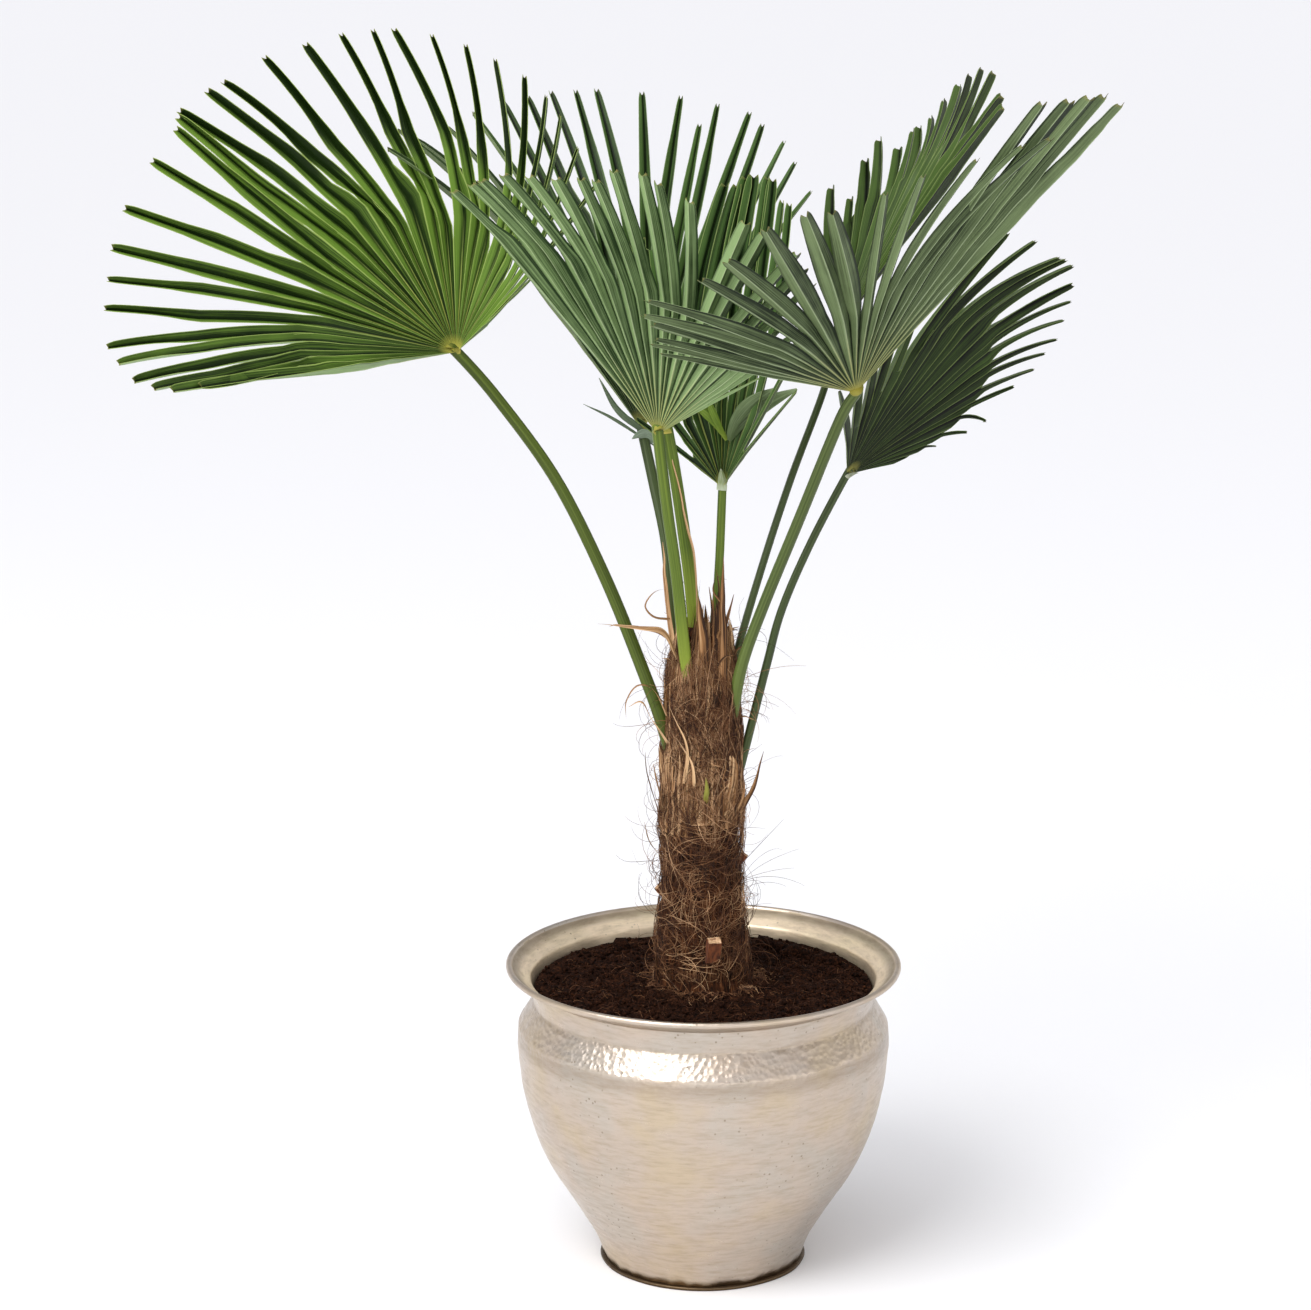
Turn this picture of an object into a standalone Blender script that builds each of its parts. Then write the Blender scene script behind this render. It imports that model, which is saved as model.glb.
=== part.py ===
"""Windmill palm growing in soil in a hammered metal pot.

Units are metres, +Z is up and the front of the plant faces -Y. The origin is on the pot's
axis, at the underside of the plate that the pot stands on.
"""

import math
import random
from dataclasses import dataclass

import bmesh
import bpy
from mathutils import Vector

# Pot: radii and heights of the outer side
POT_STEPS = 44
SHEET = 0.0016
BEAD_RADIUS = 0.0032
RIM_RADIUS = 0.1968
RIM_HEIGHT = 0.3118
NECK_TOP = (0.1765, 0.2985)
NECK_BOTTOM = (0.1722, 0.2752)
CREST = (0.1878, 0.2499)
BELLY = [(0.1888, 0.230), (0.1845, 0.188), (0.1738, 0.145), (0.1570, 0.105), (0.1315, 0.064), (0.1115, 0.030),
         (0.1015, 0.0035)]
PLATE_RADIUS = 0.1052
PLATE_THICKNESS = 0.0032

# Clearance between pieces that touch
SEAT_GAP = 0.0003
SOCKET_GAP = 0.0004

# Soil: level at the wall, level round the trunk and height of its lumps
SOIL_WALL_LEVEL = 0.2885
SOIL_TRUNK_LEVEL = 0.2945
SOIL_LUMP = 0.0016
SOIL_BOTTOM_CLEARANCE = 0.0004

# Trunk: radius at each height, from the buried foot to the crown
TRUNK_STEPS = 26
TRUNK_FOOT_BOTTOM = 0.262
TRUNK_FOOT_RADIUS = 0.0525
TRUNK_FOOT_TOP = 0.300
TRUNK_OUTLINE = [
    (0.0520, 0.310), (0.0500, 0.347), (0.0460, 0.378), (0.0440, 0.415), (0.0448, 0.455),
    (0.0450, 0.485), (0.0425, 0.520), (0.0390, 0.550), (0.0372, 0.586), (0.0345, 0.620), (0.0310, 0.648),
]
TRUNK_TOP = 0.662
TRUNK_TOP_RADIUS = 0.020
TRUNK_RELIEF = 0.0016

# Leaves
BLADE_THICKNESS = 0.0009
HUB_RING = 0.007
PLEAT_ANGLE = math.radians(26)
FOLD_GAIN = math.radians(30)
TIP_NOTCH = 0.005
FINGER_ROWS = (0.6, 1.0)
PETIOLE_POINTS = 10
SOCKET_POINTS = 7
PETIOLE_BASE_RADIUS = 0.0070
PETIOLE_TOP_RADIUS = 0.0052
HUB_SIZE = (0.0082, 0.0068, 0.0095)
FRONT = Vector((0.0, -1.0, 0.25))


@dataclass(frozen=True)
class Frond:
    """One fan leaf: where its hub is, how its blade lies and how far its leaflets reach."""

    name: str
    hub: tuple
    heading: float
    rise: float
    turn: float
    spread: tuple
    reach: tuple
    cup: tuple
    droop: float
    leaflets: tuple
    split: tuple
    upper_side: int
    petiole: tuple


FRONDS = [
    Frond("frond_left", hub=(-0.243, 0.010, 0.934), heading=198, rise=20, turn=-22, spread=(38, 126),
          reach=(0.440, 0.358, 0.175), cup=(32, 84), droop=0.00, leaflets=(8, 22), split=(0.62, 0.52, 0.46),
          upper_side=1,
          petiole=((-0.020, -0.008, 0.485), (-0.038, -0.010, 0.553), (-0.057, -0.008, 0.608),
                   (-0.097, -0.003, 0.709), (-0.146, 0.004, 0.808), (-0.204, 0.009, 0.889))),
    Frond("frond_front", hub=(-0.046, -0.080, 0.868), heading=-78, rise=52, turn=14, spread=(45, 46),
          reach=(0.333, 0.327, 0.118), cup=(4, -28), droop=0.02, leaflets=(11, 10), split=(0.78, 0.66, 0.62),
          upper_side=-1,
          petiole=((-0.010, -0.020, 0.571), (-0.019, -0.026, 0.636), (-0.028, -0.040, 0.722),
                   (-0.037, -0.056, 0.790))),
    Frond("frond_rear", hub=(-0.062, 0.100, 0.842), heading=92, rise=60, turn=-5, spread=(43, 37),
          reach=(0.355, 0.390, 0.301), cup=(29, 20), droop=0.02, leaflets=(10, 9), split=(0.58, 0.55, 0.60),
          upper_side=1,
          petiole=((-0.016, 0.016, 0.603), (-0.031, 0.022, 0.674), (-0.038, 0.040, 0.739),
                   (-0.051, 0.066, 0.797))),
    Frond("frond_young", hub=(0.018, 0.040, 0.794), heading=54, rise=83, turn=16, spread=(52, 42),
          reach=(0.100, 0.308, 0.160), cup=(24, 26), droop=0.00, leaflets=(7, 7), split=(0.85, 0.74, 0.85),
          upper_side=1,
          petiole=((0.002, 0.012, 0.583), (0.008, 0.012, 0.645), (0.011, 0.014, 0.666),
                   (0.015, 0.024, 0.722))),
    Frond("frond_right_front", hub=(0.139, -0.150, 0.919), heading=-89, rise=44, turn=-22, spread=(75, 38),
          reach=(0.195, 0.323, 0.415), cup=(-24, -2), droop=0.03, leaflets=(11, 10), split=(0.48, 0.50, 0.84),
          upper_side=-1,
          petiole=((0.024, -0.012, 0.569), (0.035, -0.022, 0.632), (0.055, -0.040, 0.691),
                   (0.090, -0.080, 0.786), (0.125, -0.136, 0.891))),
    Frond("frond_right_rear", hub=(0.137, 0.100, 0.945), heading=43, rise=55, turn=78, spread=(43, 50),
          reach=(0.270, 0.305, 0.320), cup=(7, 0), droop=0.03, leaflets=(7, 8), split=(0.60, 0.62, 0.72),
          upper_side=1,
          petiole=((0.018, 0.010, 0.563), (0.030, 0.016, 0.623), (0.056, 0.038, 0.710),
                   (0.086, 0.066, 0.797), (0.119, 0.094, 0.881))),
    Frond("frond_right_low", hub=(0.143, 0.060, 0.803), heading=12, rise=44, turn=-60, spread=(75, 46),
          reach=(0.197, 0.320, 0.090), cup=(9, 0), droop=0.04, leaflets=(11, 10), split=(0.55, 0.62, 0.75),
          upper_side=1,
          petiole=((0.018, 0.004, 0.450), (0.035, 0.006, 0.507), (0.062, 0.011, 0.616),
                   (0.078, 0.018, 0.675), (0.107, 0.036, 0.739))),
    Frond("frond_spear", hub=(-0.037, -0.030, 0.863), heading=150, rise=80, turn=0, spread=(9, 9),
          reach=(0.190, 0.205, 0.190), cup=(10, 10), droop=0.00, leaflets=(3, 3), split=(0.88, 0.86, 0.88),
          upper_side=1,
          petiole=((-0.004, -0.004, 0.587), (-0.012, -0.006, 0.689), (-0.021, -0.012, 0.761),
                   (-0.030, -0.020, 0.822))),
]


@dataclass(frozen=True)
class Sheath:
    """A dried leaf base: a pointed, arched strip that stands in the top of the trunk."""

    name: str
    route: tuple
    half_width: float
    outward: tuple


SHEATH_THICKNESS = 0.0010
SHEATH_ARCH = 0.30
SHEATH_ROWS = 8
SHEATHS = [
    Sheath("dry_sheath_left", ((-0.027, -0.001, 0.600), (-0.034, 0.000, 0.650), (-0.040, 0.001, 0.705),
                               (-0.041, 0.000, 0.747)), 0.0055, (-1, 0, 0)),
    Sheath("dry_sheath_front", ((0.003, -0.029, 0.590), (0.002, -0.031, 0.640), (-0.001, -0.030, 0.670),
                                (-0.004, -0.028, 0.697)), 0.0062, (0, -1, 0)),
    Sheath("dry_sheath_right", ((0.017, -0.027, 0.595), (0.018, -0.027, 0.645), (0.020, -0.022, 0.690),
                                (0.017, -0.014, 0.735)), 0.0052, (0, -1, 0)),
    Sheath("dry_ribbon", ((-0.0275, -0.020, 0.600), (-0.037, -0.034, 0.645), (-0.064, -0.044, 0.664),
                          (-0.105, -0.048, 0.673)), 0.0042, (0, -1, 0.3)),
]

# Cut leaf stubs on the trunk: centre, size, and the direction in which they stand out
STUBS = [
    ((0.010, -0.047, 0.342), (0.020, 0.022, 0.024), (0.2, -1.0, 0.7)),
    ((0.040, -0.002, 0.424), (0.012, 0.014, 0.020), (1.0, 0.0, 0.8)),
    ((-0.043, -0.004, 0.392), (0.012, 0.014, 0.020), (-1.0, -0.1, 0.8)),
    ((0.005, -0.040, 0.500), (0.014, 0.012, 0.028), (0.0, -1.0, 1.6)),
]


def clear_scene():
    """Remove every object of the scene that the script starts in."""
    for item in list(bpy.data.objects):
        bpy.data.objects.remove(item, do_unlink=True)


def make_collection(name):
    """Return a new collection linked to the scene."""
    collection = bpy.data.collections.new(name)
    bpy.context.scene.collection.children.link(collection)
    return collection


def make_material(name, hex_colour, roughness, metallic=0.0):
    """Return a Principled material with an sRGB colour given in hex."""
    channels = [int(hex_colour[i:i + 2], 16) / 255 for i in (0, 2, 4)]
    linear = [c / 12.92 if c <= 0.04045 else ((c + 0.055) / 1.055) ** 2.4 for c in channels]
    material = bpy.data.materials.new(name)
    material.use_nodes = True
    shader = material.node_tree.nodes["Principled BSDF"]
    shader.inputs["Base Color"].default_value = (*linear, 1.0)
    shader.inputs["Roughness"].default_value = roughness
    shader.inputs["Metallic"].default_value = metallic
    return material


def mesh_object(name, collection, data):
    """Link a new object that holds a mesh or curve."""
    item = bpy.data.objects.new(name, data)
    collection.objects.link(item)
    return item


def bake(item):
    """Replace an object by a mesh object that holds its evaluated shape, and return it."""
    depsgraph = bpy.context.evaluated_depsgraph_get()
    mesh = bpy.data.meshes.new_from_object(item.evaluated_get(depsgraph))
    name = item.name
    collection = item.users_collection[0]
    matrix = item.matrix_world.copy()
    bpy.data.objects.remove(item, do_unlink=True)
    result = mesh_object(name, collection, mesh)
    result.matrix_world = matrix
    return result


def weld(item, distance=0.00001):
    """Merge an object's coinciding vertices, such as those round a curve's caps."""
    shape = bmesh.new()
    shape.from_mesh(item.data)
    bmesh.ops.remove_doubles(shape, verts=shape.verts, dist=distance)
    bmesh.ops.recalc_face_normals(shape, faces=shape.faces)
    shape.to_mesh(item.data)
    shape.free()


def smooth_path(points, count):
    """Return count points along a Catmull-Rom curve through the given points."""
    knots = [Vector(p) for p in points]
    knots = [knots[0] * 2 - knots[1]] + knots + [knots[-1] * 2 - knots[-2]]
    spans = len(knots) - 3
    result = []
    for i in range(count):
        place = i * spans / (count - 1)
        span = min(int(place), spans - 1)
        t = place - span
        a, b, c, d = knots[span:span + 4]
        result.append(0.5 * (2 * b + (c - a) * t + (2 * a - 5 * b + 4 * c - d) * t * t
                             + (3 * b - a - 3 * c + d) * t ** 3))
    return result


def tube(name, collection, points, radii):
    """Return a closed mesh tube along points, with one radius for each point."""
    curve = bpy.data.curves.new(name, "CURVE")
    curve.dimensions = "3D"
    curve.bevel_depth = 1.0
    curve.bevel_resolution = 2
    curve.use_fill_caps = True
    spline = curve.splines.new("POLY")
    spline.points.add(len(points) - 1)
    for knot, point, radius in zip(spline.points, points, radii):
        knot.co = (*point, 1.0)
        knot.radius = radius
    item = bake(mesh_object(name, collection, curve))
    weld(item)
    return item


def turned(name, collection, profile, steps):
    """Return a mesh turned about Z from a profile of (radius, height) points, top to bottom."""
    mesh = bpy.data.meshes.new(name)
    edges = [(i, i + 1) for i in range(len(profile) - 1)]
    if profile[0][0] > 0:
        edges.append((len(profile) - 1, 0))
    mesh.from_pydata([(r, 0.0, z) for r, z in profile], edges, [])
    item = mesh_object(name, collection, mesh)
    screw = item.modifiers.new("turn", "SCREW")
    screw.steps = steps
    screw.render_steps = steps
    screw.use_merge_vertices = True
    screw.merge_threshold = 0.00001
    return bake(item)


def union(item, others):
    """Join a collection's meshes to an object as one body and remove the collection."""
    boolean = item.modifiers.new("union", "BOOLEAN")
    boolean.operation = "UNION"
    boolean.operand_type = "COLLECTION"
    boolean.collection = others
    boolean.solver = "MANIFOLD"
    result = bake(item)
    for part in list(others.objects):
        bpy.data.objects.remove(part, do_unlink=True)
    bpy.data.collections.remove(others)
    return result


def cut(item, tools):
    """Cut a collection's meshes out of an object, with a modifier that stays on it."""
    boolean = item.modifiers.new("sockets", "BOOLEAN")
    boolean.operation = "DIFFERENCE"
    boolean.operand_type = "COLLECTION"
    boolean.collection = tools


def hide_tools(tools):
    """Keep cutters out of the visible model."""
    for item in tools.objects:
        item.hide_render = True
        item.display_type = "WIRE"


def finish(item, material, sharp_angle=35):
    """Give an object its material and shade it smooth up to an angle."""
    item.data.materials.clear()
    item.data.materials.append(material)
    item.data.shade_smooth()
    item.data.set_sharp_from_angle(angle=math.radians(sharp_angle))


def arc(centre, radius, start, end, count):
    """Return points on a circle between two angles in degrees."""
    angles = [math.radians(start + (end - start) * i / (count - 1)) for i in range(count)]
    return [(centre[0] + radius * math.cos(a), centre[1] + radius * math.sin(a)) for a in angles]


def pot_outer():
    """Return the outer side of the pot from under the bead down to its foot."""
    belly = smooth_path([(r, 0.0, z) for r, z in BELLY], 9)
    return [NECK_TOP, NECK_BOTTOM, CREST] + [(p.x, p.z) for p in belly]


def inward(profile, distance):
    """Return a profile moved towards the pot's axis, square to itself."""
    moved = []
    for i, (r, z) in enumerate(profile):
        before = profile[max(i - 1, 0)]
        after = profile[min(i + 1, len(profile) - 1)]
        dr, dz = after[0] - before[0], after[1] - before[1]
        length = math.hypot(dr, dz)
        moved.append((r + dz / length * distance, z - dr / length * distance))
    return moved


def make_pot(parts):
    """Build the pot of thin sheet: rolled bead, flared rim, neck, shoulder and belly."""
    outer = pot_outer()
    inner = inward(outer, SHEET)
    inner[-1] = (outer[-1][0] - SHEET, outer[-1][1])
    bead = arc((RIM_RADIUS, RIM_HEIGHT), BEAD_RADIUS, 170, -75, 8)
    return turned("pot_body", parts, bead + outer + inner[::-1], POT_STEPS)


def make_plate(parts):
    """Build the flat plate that the pot stands on, with an eased edge."""
    bpy.ops.mesh.primitive_cylinder_add(vertices=POT_STEPS, radius=PLATE_RADIUS, depth=PLATE_THICKNESS,
                                        location=(0.0, 0.0, PLATE_THICKNESS / 2))
    plate = bpy.context.object
    plate.name = "pot_base"
    for collection in plate.users_collection:
        collection.objects.unlink(plate)
    parts.objects.link(plate)
    bevel = plate.modifiers.new("edge", "BEVEL")
    bevel.width = 0.0008
    bevel.segments = 1
    return plate


def lump(x, y, seed):
    """Return a smooth bumpy value between about -1 and 1 for a place on the soil."""
    draw = random.Random(seed)
    total = 0.0
    for _ in range(5):
        angle = draw.uniform(0.0, math.tau)
        pitch = draw.uniform(0.018, 0.05)
        phase = draw.uniform(0.0, math.tau)
        total += math.sin((x * math.cos(angle) + y * math.sin(angle)) * math.tau / pitch + phase)
    return total / 3


def make_soil(parts, tools):
    """Build the soil: it fills the pot to below the neck and the trunk stands in a plain hole."""
    wall = inward(pot_outer(), SHEET + SOCKET_GAP)
    wall = [p for p in wall if p[1] < SOIL_WALL_LEVEL - 0.004]
    wall[-1] = (wall[-1][0] - SOCKET_GAP, PLATE_THICKNESS + SOIL_BOTTOM_CLEARANCE)
    edge = (NECK_BOTTOM[0] + 0.0006, SOIL_WALL_LEVEL)
    rings = 5
    top = []
    for i in range(rings):
        t = i / rings
        radius = edge[0] * t
        top.append((radius, SOIL_TRUNK_LEVEL + (SOIL_WALL_LEVEL - SOIL_TRUNK_LEVEL) * t))
    soil = turned("soil", parts, top + [edge] + wall + [(0.0, wall[-1][1])], POT_STEPS)
    for vertex in soil.data.vertices:
        radius = math.hypot(vertex.co.x, vertex.co.y)
        if vertex.co.z > SOIL_WALL_LEVEL - 0.001 and radius < edge[0] - 0.005:
            vertex.co.z += SOIL_LUMP * lump(vertex.co.x, vertex.co.y, 4)
    hole_radius = TRUNK_FOOT_RADIUS + SOCKET_GAP * 1.5
    hole = turned("trunk_hole", tools, [(0.0, 0.32), (hole_radius, 0.32), (hole_radius, TRUNK_FOOT_BOTTOM - SEAT_GAP),
                                        (0.0, TRUNK_FOOT_BOTTOM - SEAT_GAP)], TRUNK_STEPS)
    weld(hole)
    cut(soil, tools)
    return soil


def trunk_relief(angle, height):
    """Return the relief of the wrapped leaf bases: a criss-cross of spirals over the stem."""
    if height < TRUNK_FOOT_TOP + 0.001:
        return 0.0
    climb = height * 95
    return math.sin(4 * angle + climb) * 0.6 + math.sin(5 * angle - climb * 0.8 + 1.0) * 0.5


def make_stub(number, collection, centre, size, direction):
    """Build one cut leaf base: a block with its cut face looking along its direction."""
    bpy.ops.mesh.primitive_cube_add(size=1.0)
    stub = bpy.context.object
    stub.name = "stub_%d" % number
    stub.matrix_world = Vector(direction).to_track_quat("Z", "Y").to_matrix().to_4x4()
    stub.location = centre
    stub.scale = (size[0], size[1], size[2])
    for owner in stub.users_collection:
        owner.objects.unlink(stub)
    collection.objects.link(stub)


def make_trunk(parts, tools):
    """Build the fibre-clad trunk with its cut stubs and the sockets of the leaf stems."""
    profile = [(0.0, TRUNK_TOP), (TRUNK_TOP_RADIUS, TRUNK_TOP)]
    outline = smooth_path([(r, 0.0, z) for r, z in TRUNK_OUTLINE], 15)
    profile += [(p.x, p.z) for p in reversed(outline)]
    profile += [(TRUNK_FOOT_RADIUS, TRUNK_FOOT_TOP), (TRUNK_FOOT_RADIUS, TRUNK_FOOT_BOTTOM),
                (0.0, TRUNK_FOOT_BOTTOM)]
    trunk = turned("trunk", parts, profile, TRUNK_STEPS)
    for vertex in trunk.data.vertices:
        radius = math.hypot(vertex.co.x, vertex.co.y)
        if radius > 0.001:
            angle = math.atan2(vertex.co.y, vertex.co.x)
            gain = 1 + TRUNK_RELIEF * trunk_relief(angle, vertex.co.z) / radius
            vertex.co.x *= gain
            vertex.co.y *= gain
    stubs = make_collection("stubs")
    for number, (centre, size, direction) in enumerate(STUBS):
        make_stub(number, stubs, centre, size, direction)
    trunk = union(trunk, stubs)
    cut(trunk, tools)
    return trunk


def blade_frame(frond):
    """Return a frond's middle direction, its sideways direction and the normal on its front side."""
    heading, rise, turn = (math.radians(a) for a in (frond.heading, frond.rise, frond.turn))
    middle = Vector((math.cos(rise) * math.cos(heading), math.cos(rise) * math.sin(heading), math.sin(rise)))
    level = (FRONT - FRONT.dot(middle) * middle).normalized()
    side = math.cos(turn) * middle.cross(level) + math.sin(turn) * level
    return middle, side, side.cross(middle)


def rib_direction(frond, angle):
    """Return the direction in which a rib leaves the hub, for an angle in degrees from the middle."""
    middle, side, normal = blade_frame(frond)
    edge = frond.spread[0] if angle < 0 else frond.spread[1]
    cup = frond.cup[0] if angle < 0 else frond.cup[1]
    lift = math.radians(cup) * (angle / edge) ** 2
    turn = math.radians(angle)
    return math.cos(lift) * (math.cos(turn) * middle + math.sin(turn) * side) + math.sin(lift) * normal


def rib_axes(frond, angle):
    """Return a rib's direction, the direction across it in the blade, and the blade's normal there."""
    along = rib_direction(frond, angle)
    across = (rib_direction(frond, angle + 0.5) - rib_direction(frond, angle - 0.5)).normalized()
    return along, across, across.cross(along).normalized()


def along_blade(frond, values, angle):
    """Return a value that runs smoothly from the left edge over the middle to the right edge."""
    left, middle, right = values
    if angle < 0:
        return middle + (left - middle) * (angle / frond.spread[0]) ** 2
    return middle + (right - middle) * (angle / frond.spread[1]) ** 2


def rib_length(frond, angle):
    """Return how far the blade reaches at an angle."""
    return along_blade(frond, frond.reach, angle)


def split_distance(frond, angle):
    """Return the distance from the hub at which the leaflets come apart at an angle."""
    return rib_length(frond, angle) * along_blade(frond, frond.split, angle)


def rib_angle(frond, place):
    """Return the angle of a place counted in leaflets from the left edge."""
    left, right = frond.leaflets
    if place < left:
        return frond.spread[0] * (place / left - 1)
    return frond.spread[1] * (place - left) / right


def rib_step(frond, angle):
    """Return the angle between two ribs in degrees on the side that an angle lies on."""
    side = 0 if angle < 0 else 1
    return frond.spread[side] / frond.leaflets[side]


def blade_point(frond, angle, distance, height):
    """Return the blade's point at an angle and distance from the hub, raised by height."""
    along, _, normal = rib_axes(frond, angle)
    point = Vector(frond.hub) + along * distance + normal * height
    point.z -= frond.droop * distance ** 2 / rib_length(frond, angle)
    return point


def pleat_height(frond, angle, distance):
    """Return how far a rib or a seam lies from the blade's middle surface."""
    return distance * math.radians(rib_step(frond, angle)) / 4 * math.tan(PLEAT_ANGLE)


def fused_row(frond, t):
    """Return the row of seams and ribs at part t of the way from the hub to the splits."""
    row = []
    for column in range(2 * sum(frond.leaflets) + 1):
        angle = rib_angle(frond, column / 2)
        distance = HUB_RING + (split_distance(frond, angle) - HUB_RING) * t
        seam = 1 if column % 2 == 0 else -1
        height = seam * frond.upper_side * pleat_height(frond, angle, distance)
        row.append(blade_point(frond, angle, distance, height))
    return row


def finger_row(frond, index, t):
    """Return a free leaflet's left edge, rib and right edge at part t of its length."""
    draw = random.Random(frond.name + " leaflet %d" % index)
    middle = rib_angle(frond, index + 0.5)
    step = rib_step(frond, middle)
    sway = draw.uniform(-0.35, 0.35) * step
    stretch = draw.uniform(-0.05, 0.03)
    drop = draw.uniform(0.0, 0.035)
    bend = draw.uniform(-0.03, 0.05)
    start = split_distance(frond, middle)
    length = rib_length(frond, middle) * (1 + stretch)
    distance = start + (length - start) * t
    angle = middle + sway * t * t
    along, across, normal = rib_axes(frond, angle)
    rib = blade_point(frond, angle, distance, -frond.upper_side * pleat_height(frond, middle, start))
    rib -= normal * bend * length * max(t - 0.6, 0.0)
    rib.z -= drop * length * t * t
    fold = PLEAT_ANGLE + FOLD_GAIN * t
    width = start * math.radians(step) / 2 / math.cos(PLEAT_ANGLE) * (1 - 0.12 * t - 0.55 * t ** 4)
    edge_height = normal * frond.upper_side * width * math.sin(fold)
    edge_offset = across * width * math.cos(fold)
    if t >= 1.0:
        rib -= along * TIP_NOTCH
    return [rib - edge_offset + edge_height, rib, rib + edge_offset + edge_height]


def make_blade(frond, parts):
    """Build a pleated fan whose leaflets are joined near the hub and free towards their tips."""
    shape = bmesh.new()
    inner = [shape.verts.new(p) for p in fused_row(frond, 0.0)]
    outer = [shape.verts.new(p) for p in fused_row(frond, 1.0)]

    def strip(low, high):
        """Fill the band between two rows with triangles that mirror about each rib."""
        for i in range(len(low) - 1):
            if i % 2 == 0:
                shape.faces.new((low[i], low[i + 1], high[i + 1]))
                shape.faces.new((low[i], high[i + 1], high[i]))
            else:
                shape.faces.new((low[i], low[i + 1], high[i]))
                shape.faces.new((low[i + 1], high[i + 1], high[i]))

    strip(inner, outer)
    for index in range(sum(frond.leaflets)):
        low = outer[2 * index:2 * index + 3]
        for t in FINGER_ROWS:
            high = [shape.verts.new(p) for p in finger_row(frond, index, t)]
            strip(low, high)
            low = high
    mesh = bpy.data.meshes.new(frond.name)
    shape.to_mesh(mesh)
    shape.free()
    blade = mesh_object(frond.name, parts, mesh)
    wall = blade.modifiers.new("thickness", "SOLIDIFY")
    wall.thickness = BLADE_THICKNESS
    wall.offset = 0.0
    return bake(blade)


def petiole_radii(count, extra=0.0):
    """Return the stem's radius at each point: it narrows towards the hub."""
    return [PETIOLE_BASE_RADIUS + (PETIOLE_TOP_RADIUS - PETIOLE_BASE_RADIUS) * i / (count - 1) + extra
            for i in range(count)]


def petiole_path(frond):
    """Return the points along a frond's stem, from inside the trunk to its hub."""
    return smooth_path(list(frond.petiole) + [frond.hub], PETIOLE_POINTS)


def make_frond(frond, parts, tools):
    """Build one leaf as a single body of stem, hub and blade, and the cutter for its socket."""
    blade = make_blade(frond, parts)
    joined = make_collection(frond.name + "_stem")
    path = petiole_path(frond)
    tube(frond.name + "_petiole", joined, path, petiole_radii(PETIOLE_POINTS))
    bpy.ops.mesh.primitive_ico_sphere_add(subdivisions=2, radius=1.0)
    hub = bpy.context.object
    hub.matrix_world = (path[-1] - path[-2]).to_track_quat("Z", "Y").to_matrix().to_4x4()
    hub.location = frond.hub
    hub.scale = HUB_SIZE
    for owner in hub.users_collection:
        owner.objects.unlink(hub)
    joined.objects.link(hub)
    result = union(blade, joined)
    socket = [path[0] - (path[1] - path[0]).normalized() * SOCKET_GAP] + path[1:SOCKET_POINTS]
    tube(frond.name + "_socket", tools, socket, petiole_radii(PETIOLE_POINTS, SOCKET_GAP)[:SOCKET_POINTS])
    return result


def make_strip(name, collection, sheath, thickness, grow, rows):
    """Build an arched strip that narrows to a point, for a dried sheath or the slot it stands in."""
    path = smooth_path(sheath.route, SHEATH_ROWS)[:rows]
    path[0] -= (path[1] - path[0]).normalized() * grow
    outward = Vector(sheath.outward).normalized()
    shape = bmesh.new()
    low = None
    for i, point in enumerate(path):
        ahead = path[min(i + 1, len(path) - 1)] - path[max(i - 1, 0)]
        across = ahead.cross(outward).normalized()
        taper = 1 - 0.85 * (i / (SHEATH_ROWS - 1)) ** 2
        width = sheath.half_width * taper + grow
        arch = outward * sheath.half_width * taper * SHEATH_ARCH
        high = [shape.verts.new(p) for p in (point - across * width - arch, point, point + across * width - arch)]
        if low:
            for a in range(2):
                shape.faces.new((low[a], low[a + 1], high[a + 1]))
                shape.faces.new((low[a], high[a + 1], high[a]))
        low = high
    mesh = bpy.data.meshes.new(name)
    shape.to_mesh(mesh)
    shape.free()
    strip = mesh_object(name, collection, mesh)
    wall = strip.modifiers.new("thickness", "SOLIDIFY")
    wall.thickness = thickness
    wall.offset = 0.0
    strip = bake(strip)
    weld(strip, 0.000001)
    return strip


def make_sheath(sheath, parts, tools):
    """Build a dried leaf base and the cutter for the slot that holds its root."""
    make_strip(sheath.name + "_slot", tools, sheath, SHEATH_THICKNESS + 2 * SOCKET_GAP, SOCKET_GAP, 6)
    return make_strip(sheath.name, parts, sheath, SHEATH_THICKNESS, 0.0, SHEATH_ROWS)


def main():
    """Build every piece of the plant and its pot."""
    clear_scene()
    parts = make_collection("potted_windmill_palm")
    trunk_tools = make_collection("trunk_cutters")
    soil_tools = make_collection("soil_cutters")

    leaf_green = make_material("leaf_green", "3f6b2c", 0.45)
    leaf_grey_green = make_material("leaf_grey_green", "5f7d55", 0.5)
    leaf_dark_green = make_material("leaf_dark_green", "2c4a26", 0.42)
    looks = {
        "frond_left": leaf_green,
        "frond_front": leaf_grey_green,
        "frond_rear": leaf_dark_green,
        "frond_young": leaf_green,
        "frond_right_front": leaf_grey_green,
        "frond_right_rear": leaf_dark_green,
        "frond_right_low": leaf_dark_green,
        "frond_spear": leaf_green,
    }
    for frond in FRONDS:
        finish(make_frond(frond, parts, trunk_tools), looks[frond.name])

    dried_leaf = make_material("dried_leaf", "9a7350", 0.8)
    for sheath in SHEATHS:
        finish(make_sheath(sheath, parts, trunk_tools), dried_leaf)

    finish(make_trunk(parts, trunk_tools), make_material("palm_fibre", "5c4433", 0.95))
    finish(make_soil(parts, soil_tools), make_material("peat_soil", "2f2018", 0.95))

    silver = make_material("hammered_metal", "cdbfae", 0.28, 1.0)
    finish(make_pot(parts), silver)
    finish(make_plate(parts), silver)
    hide_tools(trunk_tools)
    hide_tools(soil_tools)


main()
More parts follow.
